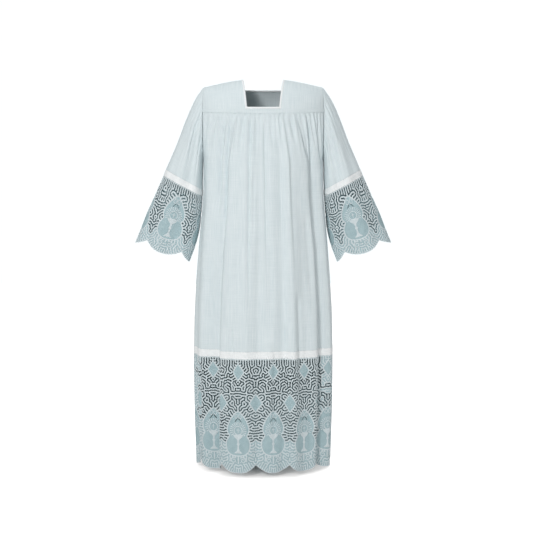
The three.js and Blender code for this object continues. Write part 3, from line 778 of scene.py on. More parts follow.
def felled(distance, height):
    """A felled seam, 9 mm wide, beside an edge."""
    return height * ramp(distance, 1, 3) * (1 - ramp(distance, 8, 9.5))


def make_yoke(panel):
    """The plain yoke with its square neck."""
    neck_angle, _ = yoke_angles(panel)
    above = np.linspace(0, neck_angle, ABOVE_NECK + 1)
    below = np.linspace(neck_angle, math.pi / 2, BELOW_NECK[panel] + 1)[1:]
    angles = np.concatenate([above, below])[:, None]
    half = mix(NECK_HALF_TOP, NECK[panel]["half"], np.minimum(angles / neck_angle, 1))
    shoulder = mix(SEAM_X, half, np.linspace(0, 1, ALONG_SHOULDER + 1)[:-1])
    neck = half * np.linspace(1, -1, ACROSS_NECK + 1)
    x = -SIDE[panel] * np.concatenate([shoulder, neck, -shoulder[:, ::-1]], axis=1)
    points = yoke_surface(panel, x, angles)
    normals = grid_normals(points)
    normals[0, :, 1] = 0
    normals[0] /= np.linalg.norm(normals[0], axis=-1, keepdims=True)
    to_arm = SEAM_X - np.abs(x)
    to_ridge = np.broadcast_to(angles * RIDGE_RADIUS, x.shape)
    to_foot = np.broadcast_to((math.pi / 2 - angles) * FOOT_RADIUS, x.shape)
    down = angles * WRINKLE_RADIUS
    seed = YOKE_SEED[panel]
    soft = 0.5 * soft_noise(x, down, 70, 40, seed) + 0.22 * soft_noise(x, down, 26, 20, seed + 1)
    drawn = 0.35 * np.cos(2 * math.pi * x / 17 + 1.5 * np.sin(x / 31)) * hump(to_foot, 22)
    out = (soft * ramp(to_ridge, 0, 20) + drawn) * ramp(to_arm, 0, 16)
    out = out - 0.9 * hump(to_arm, 2.6) - 0.7 * hump(to_ridge, 2.6)
    out = out + felled(to_arm, 0.45)
    out = out + felled(to_ridge, 0.4)
    points = points + normals * out[..., None]
    cells = np.ones((points.shape[0] - 1, points.shape[1] - 1), bool)
    cells[:ABOVE_NECK, ALONG_SHOULDER:ALONG_SHOULDER + ACROSS_NECK] = False
    return sewn("yoke_" + panel, "linen", LINEN, points, keep=cells)


def make_yoke_band(panel):
    """The band that covers the gathering seam: a flat strip with turned edges, woven as the linen is."""
    _, band_angle = yoke_angles(panel)
    x = -SIDE[panel] * np.linspace(SEAM_X, -SEAM_X, 181)[None, :]
    v = np.linspace(0, 1, 15)[:, None]
    points = yoke_surface(panel, x, mix(band_angle, math.pi / 2, v))
    across = v * YOKE_BAND_WIDTH
    edge = np.minimum(across, YOKE_BAND_WIDTH - across)
    lift = SEAM + TAPE * 0.5 + 0.6 * ramp(edge, 0, 1.3) - 0.35 * hump(edge - 2.4, 0.7)
    lift = lift + 0.25 * soft_noise(x, across, 21, 9, 31)
    points = points + grid_normals(points) * lift[..., None]
    return sewn("yoke_band_" + panel, "tape", LINEN, points)


# The binding's section, round the neck's edge from its inner side to its outer one: how far from
# the edge, and how high over the yoke.
BINDING = (
    (5.4, -2.4), (3.0, -2.7), (0.8, -2.6), (-0.4, -1.9), (-0.9, -0.5), (-0.5, 0.7), (0.6, 1.35),
    (1.6, 1.75), (3.0, 1.85), (4.4, 1.6), (5.4, 1.1), (6.0, 0.35),
)
DOWN_NECK = 40
NECK_FOOT_COLUMNS = 60


def make_neck_binding(panel):
    """The rounded binding of the square neck, mitred at its corners."""
    side = SIDE[panel]
    neck_angle, _ = yoke_angles(panel)
    rows = []
    for offset, lift in BINDING:
        foot = neck_angle + offset / YOKE_SECTION[panel].depth
        down = np.linspace(0, foot, DOWN_NECK)
        x_down = mix(NECK_HALF_TOP, NECK[panel]["half"], np.minimum(down / neck_angle, 1)) + offset
        x_across = np.linspace(1, -1, NECK_FOOT_COLUMNS)[1:-1] * x_down[-1]
        x = np.concatenate([x_down, x_across, -x_down[::-1]])
        angle = np.concatenate([down, np.full(len(x_across), foot), down[::-1]])
        here = yoke_surface(panel, -side * x, angle)
        ahead = yoke_surface(panel, -side * (x + 0.5), angle)
        deeper = yoke_surface(panel, -side * x, angle + 0.005)
        normal = np.cross(deeper - here, here - ahead)
        normal /= np.linalg.norm(normal, axis=-1, keepdims=True)
        rows.append(here + normal * lift)
    return sewn("neck_binding_" + panel, "tape", TAPE_CLOTH, np.array(rows), 60)


def sleeve_surface(side, row, turn):
    """Points of a sleeve: row counts the sections down it, turn the angle from its outer edge."""
    rows = np.arange(len(SLEEVE["widest"]))
    value = lambda column: between(rows, SLEEVE[column], row)
    roundness = 2 / mix(2, SLEEVE_ROUNDING, ramp(row, 0, SLEEVE_BAND_TOP))
    cosine = signed_power(np.cos(turn), roundness)
    widest = value("widest")
    along = widest - cosine * np.where(cosine > 0, widest, 1 - widest)
    x = mix(value("outer_x"), value("inner_x"), along)
    z = mix(value("outer_z"), value("inner_z"), along)
    degrees = np.degrees(turn)
    degrees = 360 - degrees if side > 0 else degrees
    depth = value("half_depth") + sleeve_fold(degrees, row, side)
    y = side * signed_power(np.sin(turn), roundness) * depth
    return np.stack(np.broadcast_arrays(side * x, y, z), axis=-1)


def sleeve_fold(degrees, row, side):
    """How far the sleeve stands off its plain oval, from its folds and creases."""
    height = 0
    for at, half, depth in SLEEVE_FOLDS:
        height = height + depth * hump(degrees - at, half)
    height = height * ramp(row, 0, SLEEVE_FOLDS_SET_IN)
    shift = LEFT_SLEEVE_SHIFT if side > 0 else 0
    for at, high, foot, low, half, depth in SLEEVE_CREASES:
        down = np.clip((row - high) / (low - high), 0, 1)
        off = degrees - mix(at, foot, down) - shift
        fade_top = ramp(row, high - 0.15, high + 0.4)
        fade_foot = 1 - ramp(row, mix(high, low, CREASE_FADES_FROM), low + 0.35)
        slope = hump(off, half, CREASE_SHARPNESS)
        height = height + SLEEVE_CREASE_STRENGTH * depth * (fade_top * fade_foot) * slope
    return height


def even_turns(side, row, share, start=0.0, end=2 * math.pi):
    """Angles round one sleeve row that space its columns evenly along the cloth."""
    dense = np.linspace(start, end, 721)
    arc = lengths_along(sleeve_surface(side, row, dense))
    return np.interp(share * arc[-1], arc, dense)


def sleeve_rows(side, rows):
    """The grid of a closed tube of cloth, its last column on its first."""
    share = np.linspace(0, 1, SLEEVE_COLUMNS + 1)
    points = np.array([sleeve_surface(side, row, even_turns(side, row, share)) for row in rows])
    points[:, -1] = points[:, 0]
    return points


def make_sleeve(side, name):
    """The wide sleeve, from its armhole to its band."""
    rows = mix(0.002, SLEEVE_BAND_TOP - 0.006, np.linspace(0, 1, SLEEVE_ROWS) ** 1.12)
    points = sleeve_rows(side, rows)
    length = rows[:, None] / SLEEVE_BAND_TOP * SLEEVE_LENGTH
    around = np.linspace(0, 2 * math.pi, SLEEVE_COLUMNS + 1)[None, :]
    across, out = np.cos(around) * 80, np.sin(around)
    wrinkle = 0.8 * soft_noise(across + 200, length + out * 60, 34, 60, 21 + side)
    wrinkle = wrinkle + 0.4 * soft_noise(across + 90, length + out * 90, 15, 27, 25 + side)
    # Small puckers where the sleeve is eased into the armhole.
    pucker = 0.8 * np.cos(around * 21 + 2 * np.sin(around * 3)) * hump(length, 16) * ramp(length, 0, 4)
    lift = wrinkle * ramp(length, 4, 60) + pucker - 0.9 * hump(length, 2.6)
    points = points + grid_normals(points, closed=True) * lift[..., None]
    points[:, -1] = points[:, 0]
    return sewn("sleeve_" + name, "linen", LINEN, points, closed=True)


PIN_TUCKS = (1.6, 4.6, 7.6)


def strip_profile(across, width):
    """Height across an insertion band: pin tucks above, then a flat strip with turned edges."""
    tucks = sum(0.55 * hump(across - at, 0.75) for at in PIN_TUCKS)
    strip = 0.55 * ramp(across, 9.2, 10.2) * (1 - ramp(across, width - 0.9, width))
    groove = 0.3 * hump(across - 12.6, 0.6) + 0.3 * hump(across - width + 3, 0.6)
    return tucks + strip - groove + 0.05


def make_hem_band(panel):
    """The insertion band between the cloth and the hem lace."""
    width = BODY_FOOT - HEM_BAND_FOOT - SEAM
    across = np.linspace(0, width, 31)
    share = np.linspace(0.0002, 0.9998, 225)
    points = np.array([BodySection(panel, BODY_FOOT - SEAM / 2 - v).even_cloth(share) for v in across])
    points = points + grid_normals(points) * strip_profile(across, width)[:, None, None]
    return sewn("hem_band_" + panel, "tape", TAPE_CLOTH, points)


def make_sleeve_band(side, name):
    """The insertion band between a sleeve and its cuff lace: flat, with turned edges."""
    steps = np.linspace(0, 1, 26)
    points = sleeve_rows(side, mix(SLEEVE_BAND_TOP + 0.006, SLEEVE_BAND_FOOT - 0.006, steps))
    across = steps * SLEEVE_BAND_WIDTH
    edge = np.minimum(across, SLEEVE_BAND_WIDTH - across)
    lift = 0.1 + 0.6 * ramp(edge, 0, 1.4) - 0.3 * hump(edge - 3, 0.7)
    points = points + grid_normals(points, closed=True) * lift[:, None, None]
    points[:, -1] = points[:, 0]
    return sewn("sleeve_band_" + name, "tape", TAPE_CLOTH, points, closed=True)


# Lace

# The lace is drawn on a chart, so many steps to a repeat, that reaches a little past the lace at its
# top and at its foot.
CHART_COLUMNS = 160
STEP = REPEAT / CHART_COLUMNS
CHART_ABOVE = 6
CHART_BELOW = 8
FAR = 50.0

# The tape: how far apart its windings are, and how it grows from chance, in even steps.
TAPE_SPACING = 9.4
GROWTH = 0.9
DECAY = -3.0
GROWTH_STEP = 0.5
GROWTH_STEPS = 30
WINDING_HEIGHT = 0.62

# Half widths of the tape that is laid along lines. The scallops' tape waves in and out.
OUTLINE_TAPE = 2.1
BAND_TAPE = 1.9
EDGE_TAPE = 1.35
EDGE_TAPE_IN = 1.9
EDGE_TAPE_WAVE = 0.9
SCROLL_TAPE = 1.8
HOST_TAPE = 1.5
CROSS_TAPE = 1.25
LEAF_TAPE = 1.2
TIE = 0.75

# The chance that each kind of lace starts from.
SEED = {"hem": 33, "cuff": 12}

# How the outlines are thinned: the most that a point may lie off, and the run that keeps a point.
THIN_TO = 0.24
THIN_RUN = 7

# Heights from the cloth's outer face, edge and back, and the steps of the inner points across and
# down. The tape's rounded top starts this far inside its edge.
TAPE_CROWN = 0.9
TAPE_FACES = (-0.45, -1.2)
TAPE_STEPS = (4, 6)
NET_FACES = (-1.0, -1.35)
NET_STEPS = {"front": (3.8, 12), "back": (4.2, 14)}

# Half outlines of the motifs, in millimetres from the medallion's axis and from the band's foot,
# and the sizes of what lies in and under the medallion. The host is a ring round a cross.
MEDALLION = (
    (0, 190), (7, 192.5), (20, 206), (31, 223), (38.5, 241), (40.5, 255), (38, 267), (32.5, 275.5),
    (36, 284), (42.5, 295), (45, 309), (43, 325), (35, 339), (20, 347.5), (0, 350),
)
CHALICE = (
    (0, 273), (17.5, 273), (17, 278), (12.5, 284), (6.5, 289), (3.4, 294), (2.8, 302), (5.2, 306),
    (5.2, 309), (2.8, 313), (3.2, 324), (6, 332), (13, 337.5), (14, 341), (0, 341),
)
LEAF = ((1.5, 205), (6, 198.5), (11.5, 203), (12, 212), (6, 214), (2.5, 209))
SLOT = ((2.6, 215), (11.5, 226))
SLOT_HALF = 1.7
HOST = 258
HOST_RADIUS = 15
RAYS = 17
DIAMOND = ((0, -1), (0.52, -0.5), (1, 0), (0.52, 0.5), (0, 1))
SCROLL_PLACE = (17, 366)
SCROLL_REACH = 11.5
SCROLL_NARROWS = 8.5
# Net diamonds: centre across, top, foot, half width.
HEM_DIAMONDS = ((0, 17, 77, 21), (-67, 127, 193, 24.5), (67, 127, 193, 24.5))
CUFF_MOTIF_SHIFT = -153
# Gaps that lie lower than this, in the mean, are closed by net at the front too: a grey sheet of painted
# shade, where the shade inside the hem shows between the tapes.
EDGING_TOP = {"hem": 299, "cuff": 185}


def smooth_ring(points, steps):
    """A smooth closed line through a few given points."""
    p = np.array(points, float)
    line = []
    for i in range(len(p)):
        a, b, c, d = (p[(i + k) % len(p)] for k in (-1, 0, 1, 2))
        for t in np.arange(steps) / steps:
            bend = (2 * a - 5 * b + 4 * c - d) * t ** 2 + (3 * b - a - 3 * c + d) * t ** 3
            line.append((2 * b + (c - a) * t + bend) / 2)
    return np.array(line)


def to_line(s, h, line):
    """Distance from each place to a line, how far along the line that is, and its length."""
    near = np.full(s.shape, 1e9)
    along = np.zeros(s.shape)
    run = 0.0
    for (s0, h0), (s1, h1) in zip(line[:-1], line[1:]):
        ds, dh = s1 - s0, h1 - h0
        length = math.hypot(ds, dh)
        t = np.clip(((s - s0) * ds + (h - h0) * dh) / max(length, 1e-9) ** 2, 0, 1)
        distance = (s - s0 - t * ds) ** 2 + (h - h0 - t * dh) ** 2
        closer = distance < near
        near = np.where(closer, distance, near)
        along = np.where(closer, run + t * length, along)
        run += length
    return np.sqrt(near), along, run


def depth_inside(s, h, outline):
    """How deep each place lies inside a closed outline: negative outside it."""
    ring = np.vstack([outline, outline[:1]])
    inside = np.zeros(s.shape, bool)
    for (s0, h0), (s1, h1) in zip(ring[:-1], ring[1:]):
        if h0 != h1:
            inside ^= ((h0 > h) != (h1 > h)) & (s < s0 + (h - h0) * (s1 - s0) / (h1 - h0))
    distance = to_line(s, h, ring)[0]
    return np.where(inside, distance, -distance)


def both_sides(right_half):
    """A closed outline from its right half, given from top to foot on the motif's axis."""
    return list(right_half) + [(-s, h) for s, h in right_half[::-1] if s > 0]


def mirrored(field):
    """The chart made alike on both sides of its medallion."""
    return (field + np.roll(field[:, ::-1], 1, axis=1)) / 2


def winding_tape(start, allowed):
    """Grows a random start into a winding tape of even width that fills the places allowed."""
    growth = np.where(allowed, GROWTH, DECAY)
    along = 2 * np.pi * np.fft.rfftfreq(start.shape[1], STEP)
    down = 2 * np.pi * np.fft.fftfreq(start.shape[0], STEP)
    wave = (2 * math.pi / TAPE_SPACING) ** 2
    damping = 1 + GROWTH_STEP * (1 - (down[:, None] ** 2 + along[None, :] ** 2) / wave) ** 2
    height = mirrored(start)
    for _ in range(GROWTH_STEPS):
        grown = height + GROWTH_STEP * (growth * height - height ** 3)
        height = np.fft.irfft2(np.fft.rfft2(grown) / damping, s=start.shape)
    return mirrored(height) / WINDING_HEIGHT


def medallion_figures(s, h, shift):
    """The tape of the host with its rays, the chalice and two leaf loops, as height over its edge."""
    y = h - shift
    rise = HOST - y
    host = HOST_TAPE - np.abs(np.hypot(s, rise) - HOST_RADIUS)
    upright = np.minimum(CROSS_TAPE - np.abs(s), 9 - np.abs(rise))
    arms = np.minimum(CROSS_TAPE - np.abs(rise - 2), 6 - np.abs(s))
    figures = np.maximum.reduce([host, upright, arms])
    for at in np.radians(np.linspace(-34, 214, RAYS)):
        along = s * math.cos(at) + rise * math.sin(at)
        off = np.abs(rise * math.cos(at) - s * math.sin(at))
        half = 0.8 + (along - 18) / 12
        figures = np.maximum(figures, np.minimum(half - off, np.minimum(along - 18, 31.5 - along)))
    figures = np.maximum(figures, depth_inside(s, y, smooth_ring(both_sides(CHALICE), 3)))
    for side in (-1, 1):
        leaf = smooth_ring([(side * a, b) for a, b in LEAF], 4)
        figures = np.maximum(figures, LEAF_TAPE - np.abs(depth_inside(s, y, leaf)))
    return figures


def scallop_foot(across, depth):
    """How far down the scalloped edge lies."""
    return depth - SCALLOP * (np.abs(across) / (REPEAT / 2)) ** SCALLOP_SHARPNESS


def motif_outlines(shift, diamonds):
    """The outlines of the medallion and of the net diamonds."""
    outlines = [smooth_ring(both_sides([(a, b + shift) for a, b in MEDALLION]), 4)]
    for centre, top, foot, wide in diamonds:
        middle, reach = (top + foot) / 2, (foot - top) / 2
        outlines.append(np.array([(centre + a * wide, middle + b * reach) for a, b in both_sides(DIAMOND)]))
    return outlines


def start_of_tape(s, h, outlines, to_edge, edge_wave, seed):
    """What the tape grows from: teeth on every outline, on the scallops and under the band, and chance."""
    teeth = np.zeros(s.shape)
    weight = np.zeros(s.shape)
    for outline in outlines:
        distance, along, length = to_line(s, h, np.vstack([outline, outline[:1]]))
        near = 1 - ramp(distance, 9, 14)
        teeth += near * np.cos(2 * np.pi * along / length * 2 * round(length / TAPE_SPACING / 2))
        weight = np.maximum(weight, near)
    band_teeth = round(REPEAT / TAPE_SPACING)
    for distance, wave in ((to_edge, edge_wave), (h, np.cos(2 * np.pi * s / REPEAT * band_teeth))):
        near = 1 - ramp(distance, 16, 24)
        teeth = np.where(near > weight, wave, teeth)
        weight = np.maximum(weight, near)
    chance = np.random.default_rng(seed).normal(0, 1, s.shape)
    return chance * (1 - weight) + teeth * weight


def with_scrolls(tape, s, h, shift, inside_medallion):
    """Lays a pair of scrolls on open ground under each medallion."""
    turns = np.radians(np.arange(0, 471, 24))
    reach = SCROLL_REACH - SCROLL_NARROWS * turns / turns[-1]
    for side in (-1, 1):
        x, y = side * SCROLL_PLACE[0], SCROLL_PLACE[1] + shift
        line = np.stack([x + side * reach * np.cos(turns - 2.2), y + reach * np.sin(turns - 2.2)], axis=1)
        scroll = SCROLL_TAPE - to_line(s, h, line)[0]
        ground = np.hypot(s - x, h - y) - SCROLL_REACH
        tape = np.where((ground < 0) & (inside_medallion < -2.2), np.minimum(tape, ground), tape)
        tape = np.where(inside_medallion < 1, np.maximum(tape, scroll), tape)
    return tape


def lace_chart(kind, depth, shift, diamonds):
    """One repeat of the flat lace, positive where there is cloth: tape, net and the whole ground."""
    rows = math.ceil((depth + CHART_ABOVE + CHART_BELOW) / STEP / 16) * 16
    s, h = np.meshgrid(np.arange(CHART_COLUMNS) * STEP - REPEAT / 2, np.arange(rows) * STEP - CHART_ABOVE)
    across = np.linspace(-REPEAT / 2, REPEAT / 2, 61)
    scallop = np.stack([across, scallop_foot(across, depth)], axis=1)
    to_edge, edge_along, edge_length = to_line(s, h, scallop)
    edge_wave = np.cos(2 * np.pi * (edge_along / edge_length - 0.5) * round(edge_length / TAPE_SPACING))
    within = np.where(h < scallop_foot(s, depth), to_edge, -to_edge)
    outlines = motif_outlines(shift, diamonds)
    depths = [depth_inside(s, h, outline) for outline in outlines]
    motif = np.max(depths, axis=0)
    start = start_of_tape(s, h, outlines, to_edge, edge_wave, SEED[kind])
    tape = winding_tape(start, (motif < -1.2) & (within > 1.5) & (h > 0.5))
    tape = np.where((motif > -1) | (within < 0.3), -4, np.minimum(tape, 2.3))
    # Tape along every outline, under the band and along the scallops.
    for inside in depths:
        tape = np.maximum(tape, OUTLINE_TAPE - np.abs(inside + 0.2))
    tape = np.maximum(tape, BAND_TAPE - np.abs(h - BAND_TAPE))
    tape = np.maximum(tape, EDGE_TAPE - np.abs(within - EDGE_TAPE_IN + EDGE_TAPE_WAVE * edge_wave))
    tape = np.where(depths[0] > -1, np.maximum(tape, medallion_figures(s, h, shift)), tape)
    tape = with_scrolls(tape, s, h, shift, depths[0])
    slots = np.full(s.shape, FAR)
    for side in (-1, 1):
        slot = np.array([(side * a, b + shift) for a, b in SLOT])
        slots = np.minimum(slots, to_line(s, h, slot)[0] - SLOT_HALF)
    tape = np.minimum(np.where(h < 0, h, tape), slots)
    net = np.minimum(motif + 0.8, slots)
    tape = join_islands(tape, net)
    ground = np.minimum(within - 0.6, h - 0.6)
    gaps = label_groups(np.maximum(tape, net) <= 0)
    mean_height = np.bincount(gaps.ravel(), h.ravel()) / np.maximum(np.bincount(gaps.ravel()), 1)
    # Painted shade: grey net closes the low gaps.
    low = (gaps > 0) & (mean_height[gaps] > EDGING_TOP[kind])
    return tape, np.maximum(net, np.minimum(ground, net_under(low))), ground


def net_under(gaps):
    """Net that closes these gaps and ends out of sight, under the tape round them."""
    spread = gaps.astype(float)
    for _ in range(4):
        for axis in (0, 1):
            spread = (np.roll(spread, 1, axis) + 2 * spread + np.roll(spread, -1, axis)) / 4
    return (spread - 0.13) * 4


def side_net(tape, net, ground, first):
    """Net that closes an outermost repeat's gaps too, but for those that run on into the next repeat."""
    gaps = label_groups(np.pad(np.maximum(tape, net) <= 0, ((0, 0), (0, 1))))[:, :-1]
    closed = (gaps > 0) & ~np.isin(gaps, gaps[:, -1 if first else 0])
    to_next = np.arange(gaps.shape[1]) * STEP
    to_next = to_next[::-1] if first else to_next
    return np.maximum(net, np.minimum(np.minimum(ground, net_under(closed)), to_next - 1.5))


def join_islands(tape, net):
    """Ties every loose loop of tape to its neighbour with a thin bar."""
    rows, columns = tape.shape
    s, h = np.meshgrid(np.arange(columns) * STEP, np.arange(rows) * STEP)
    for _ in range(12):
        groups = label_groups(np.maximum(tape, net) > 0)
        sizes = np.bincount(groups.ravel())
        sizes[0] = 0
        loose = [g for g in np.nonzero(sizes)[0] if g != np.argmax(sizes)]
        if not loose:
            break
        for group in loose:
            start, gap = way_over(groups, group)
            end = start + gap
            reach = gap / max(np.linalg.norm(gap), 1e-6)
            bar = np.array([start - reach, end + reach])[:, ::-1]
            for turn in (-REPEAT, 0, REPEAT):
                tape = np.maximum(tape, TIE - to_line(s, h, bar + (turn, 0))[0])
    return tape


def way_over(groups, group):
    """The shortest way over a gap from one joined area to any other: where it starts, and its reach."""
    rows, columns = groups.shape
    origin = {place: place for place in zip(*(a.tolist() for a in np.nonzero(groups == group)))}
    front = list(origin)
    while front:
        ahead = []
        for r, c in front:
            for place in ((r - 1, c), (r + 1, c), (r, (c - 1) % columns), (r, (c + 1) % columns)):
                if place in origin or not 0 <= place[0] < rows:
                    continue
                origin[place] = origin[(r, c)]
                if groups[place] not in (0, group):
                    start = np.array(origin[place])
                    gap = np.array(place) - start
                    gap[1] = (gap[1] + columns // 2) % columns - columns // 2
                    return start * STEP, gap * STEP
                ahead.append(place)
        front = ahead
    return np.zeros(2), np.zeros(2)


def label_groups(solid):
    """Numbers the joined areas of a chart that repeats sideways."""
    rows, columns = solid.shape
    groups = np.zeros(solid.shape, int)
    count = 0
    for seed in zip(*np.nonzero(solid)):
        if groups[seed]:
            continue
        count += 1
        groups[seed] = count
        front = [seed]
        while front:
            r, c = front.pop()
            for place in ((r - 1, c), (r + 1, c), (r, (c - 1) % columns), (r, (c + 1) % columns)):
                if 0 <= place[0] < rows and solid[place] and not groups[place]:
                    groups[place] = count
                    front.append(place)
    return groups


# Where an outline crosses one cell of the chart, by which of its corners are cloth: the edges are
# 0 top, 1 right, 2 foot and 3 left, each pair from where the outline comes in to where it leaves.
CROSSINGS = {
    1: ((0, 3),), 2: ((1, 0),), 3: ((1, 3),), 4: ((2, 1),), 5: ((0, 3), (2, 1)), 6: ((2, 0),),
    7: ((2, 3),), 8: ((3, 2),), 9: ((0, 2),), 10: ((1, 0), (3, 2)), 11: ((1, 2),), 12: ((3, 1),),
    13: ((0, 1),), 14: ((3, 0),),
}


def outlines_at(field, level):
    """Closed outlines of a chart at a level, thinned to the points that shape them."""
    value = np.pad(field - level, 1, constant_values=-FAR)
    rows, columns = value.shape
    width = (columns - 3) * STEP
    solid = value > 0
    case = solid[:-1, :-1] + 2 * solid[:-1, 1:] + 4 * solid[1:, 1:] + 8 * solid[1:, :-1]
    following = {}
    for r, c in np.argwhere((case > 0) & (case < 15)):
        edges = ((0, r, c), (1, r, c + 1), (0, r + 1, c), (1, r, c))
        for start, end in CROSSINGS[int(case[r, c])]:
            following[edges[start]] = edges[end]
    lines = []
    while following:
        first = edge = next(iter(following))
        line = []
        fixed = []
        while True:
            down, r, c = edge
            a, b = value[r, c], value[r + down, c + 1 - down]
            t = a / (a - b)
            s = (c - 1 + (0 if down else t)) * STEP
            on_border = s < 0 or s > width or bool(down and c in (1, columns - 2))
            if not on_border or down or r % 7 == 0:
                h = (r - 1 + (t if down else 0)) * STEP - CHART_ABOVE
                line.append((min(max(s, 0.0), width), h))
                fixed.append(on_border)
            edge = following.pop(edge)
            if edge == first:
                break
        lines.append(thinned(np.array(line), np.array(fixed, bool)))
    return [line for line in lines if len(line) > 2]


def thinned(line, fixed):
    """Drops the points of a closed line that lie almost on the line between their neighbours."""
    steps = np.linalg.norm(np.roll(line, -1, axis=0) - line, axis=1)
    run = np.concatenate([[0], np.cumsum(steps)[:-1]])
    keep = fixed | (np.floor(run / THIN_RUN) != np.floor(np.roll(run, 1) / THIN_RUN))
    keep[0] = True
    order = np.nonzero(keep)[0]
    spans = [(a, b) for a, b in zip(order, list(order[1:]) + [order[0] + len(line)])]
    while spans:
        a, b = spans.pop()
        if b - a < 2:
            continue
        between_them = np.arange(a + 1, b) % len(line)
        start, chord = line[a], line[b % len(line)] - line[a % len(line)]
        away = line[between_them] - start
        length = np.linalg.norm(chord)
        if length < 1e-6:
            off = np.linalg.norm(away, axis=1)
        else:
            off = np.abs(chord[0] * away[:, 1] - chord[1] * away[:, 0]) / length
        worst = int(np.argmax(off))
        if off[worst] > THIN_TO:
            middle = a + 1 + worst
            keep[middle % len(line)] = True
            spans += [(a, middle), (middle, b)]
    return line[keep]


def inside_outlines(places, starts, ends):
    """Whether each place lies inside the closed outlines made of these edges."""
    inside = np.zeros(len(places), bool)
    s, h = places[:, :1], places[:, 1:]
    for k in range(0, len(starts), 400):
        a, b = starts[k:k + 400], ends[k:k + 400]
        spans = (a[:, 1] > h) != (b[:, 1] > h)
        rise = np.where(a[:, 1] == b[:, 1], 1.0, b[:, 1] - a[:, 1])
        left = s < a[:, 0] + (h - a[:, 1]) * (b[:, 0] - a[:, 0]) / rise
        inside ^= ((spans & left).sum(axis=1) % 2).astype(bool)
    return inside


def fill(points, edges, outline_points, outline_edges):
    """Triangles between outlines, those inside only, wound as the face that looks outwards."""
    flat = [Vector(p) for p in points.tolist()]
    edges = [tuple(edge) for edge in edges.tolist()]
    vertices, _, faces, _, _, _ = delaunay_2d_cdt(flat, edges, [], 0, 1e-4, True)
    vertices = np.array([tuple(v) for v in vertices])
    faces = np.array(faces)
    starts, ends = outline_points[outline_edges[:, 0]], outline_points[outline_edges[:, 1]]
    faces = faces[inside_outlines(vertices[faces].mean(axis=1), starts, ends)]
    a, b, c = (vertices[faces[:, k]] for k in range(3))
    turned = (b - a)[:, 0] * (c - a)[:, 1] - (b - a)[:, 1] * (c - a)[:, 0]
    faces[turned > 0] = faces[turned > 0][:, ::-1]
    return vertices, faces


def chained(lines):
    """All the points of some closed lines, and the edges between them."""
    points = np.vstack(lines)
    edges = []
    first = 0
    for line in lines:
        index = np.arange(len(line)) + first
        edges.append(np.stack([index, np.roll(index, -1)], axis=1))
        first += len(line)
    return points, np.vstack(edges)


def places_between(field, level, step_across, step_down):
    """Staggered places well inside the cloth, so that its faces can follow the folds."""
    width = (field.shape[1] - 1) * STEP
    across = np.arange(step_across / 2, width - 1, step_across)
    s, h = np.meshgrid(across, np.arange(0, len(field) * STEP, step_down) - CHART_ABOVE)
    s = s + (np.arange(len(s)) % 2)[:, None] * step_across / 2
    places = np.stack([s.ravel(), h.ravel()], axis=1)
    beside = ((-1.7, 0), (1.7, 0), (0, -1.7), (0, 1.7))
    deep = np.minimum.reduce([chart_value(field, places + step) for step in beside])
    return places[(deep > level) & (places[:, 0] < width - 2)]


def lace_tile(field, crown, faces_at, steps):
    """One repeat as a thin solid: places with their heights, its faces, and its border edges."""
    edge, back = faces_at
    outer_points, outer_edges = chained(outlines_at(field, 0.0))
    points, edges = outer_points, outer_edges
    if crown:
        inner_points, inner_edges = chained(outlines_at(field, crown))
        points = np.vstack([points, inner_points])
        edges = np.vstack([edges, inner_edges + len(outer_points)])
    spare = places_between(field, crown or 0.5, *steps)
    front, faces = fill(np.vstack([points, spare]), edges, outer_points, outer_edges)
    sides = np.vstack([faces[:, [0, 1]], faces[:, [1, 2]], faces[:, [2, 0]]])
    _, where, counts = np.unique(np.sort(sides, axis=1), axis=0, return_index=True, return_counts=True)
    rim = sides[where[counts == 1]]
    if crown:
        used, rear_rim = np.unique(rim, return_inverse=True)
        rear_rim = rear_rim.reshape(rim.shape)
        rear, rear_faces = fill(np.vstack([front[used], spare]), rear_rim, front[used], rear_rim)
        heights = mix(edge, 0, np.clip(chart_value(field, front) / crown, 0, 1))
    else:
        rear, rear_faces, rear_rim = front, faces, rim
        heights = np.full(len(front), edge)
    heights = np.concatenate([heights, np.full(len(rear), back)])
    places = np.column_stack([np.vstack([front, rear]), heights])
    first, last = front[rim[:, 0]], front[rim[:, 1]]
    width = (field.shape[1] - 1) * STEP
    border = np.abs(first[:, 0] - last[:, 0]) < 1e-6
    border &= (first[:, 0] < 1e-6) | (first[:, 0] > width - 1e-6)
    border &= chart_value(field, (first + last) / 2) > 0
    rear_rim = rear_rim + len(front)
    walls = np.stack([rim[:, 1], rim[:, 0], rear_rim[:, 0], rear_rim[:, 1]], axis=1)
    return places, np.vstack([faces, rear_faces[:, ::-1] + len(front)]), walls, border


def grid_value(grid, r, c):
    """A grid's value at any row and column, in between its points."""
    i, j = np.minimum(r.astype(int), grid.shape[0] - 2), np.minimum(c.astype(int), grid.shape[1] - 2)
    t, u = r - i, c - j
    if grid.ndim > 2:
        t, u = t[:, None], u[:, None]
    top = mix(grid[i, j], grid[i, j + 1], u)
    return mix(top, mix(grid[i + 1, j], grid[i + 1, j + 1], u), t)


def chart_value(field, places):
    """The chart's value at any place."""
    rows, columns = field.shape
    c = np.clip(places[:, 0] / STEP, 0, columns - 1)
    r = np.clip((places[:, 1] + CHART_ABOVE) / STEP, 0, rows - 1)
    return grid_value(field, r, c)


def lace_wall(tile, repeats, first=0):
    """Joins repeats side by side, welded at their borders and closed at both ends."""
    places, faces, walls, border = tile
    middle = places[walls[:, 0], 0]
    left, right = border & (middle < 1e-6), border & (middle > 1e-6)
    repeated = np.vstack([places + (k * REPEAT, 0, 0) for k in range(repeats)])
    quads = []
    for k in range(repeats):
        wanted = ~border | (left & (k == 0)) | (right & (k == repeats - 1))
        quads.append(walls[wanted] + k * len(places))
    triangles = np.vstack([faces + k * len(places) for k in range(repeats)])
    _, where, welded = np.unique(np.round(repeated, 3), axis=0, return_index=True, return_inverse=True)
    welded = welded.ravel()
    return repeated[where] + (first * REPEAT, 0, 0), welded[triangles], welded[np.vstack(quads)]


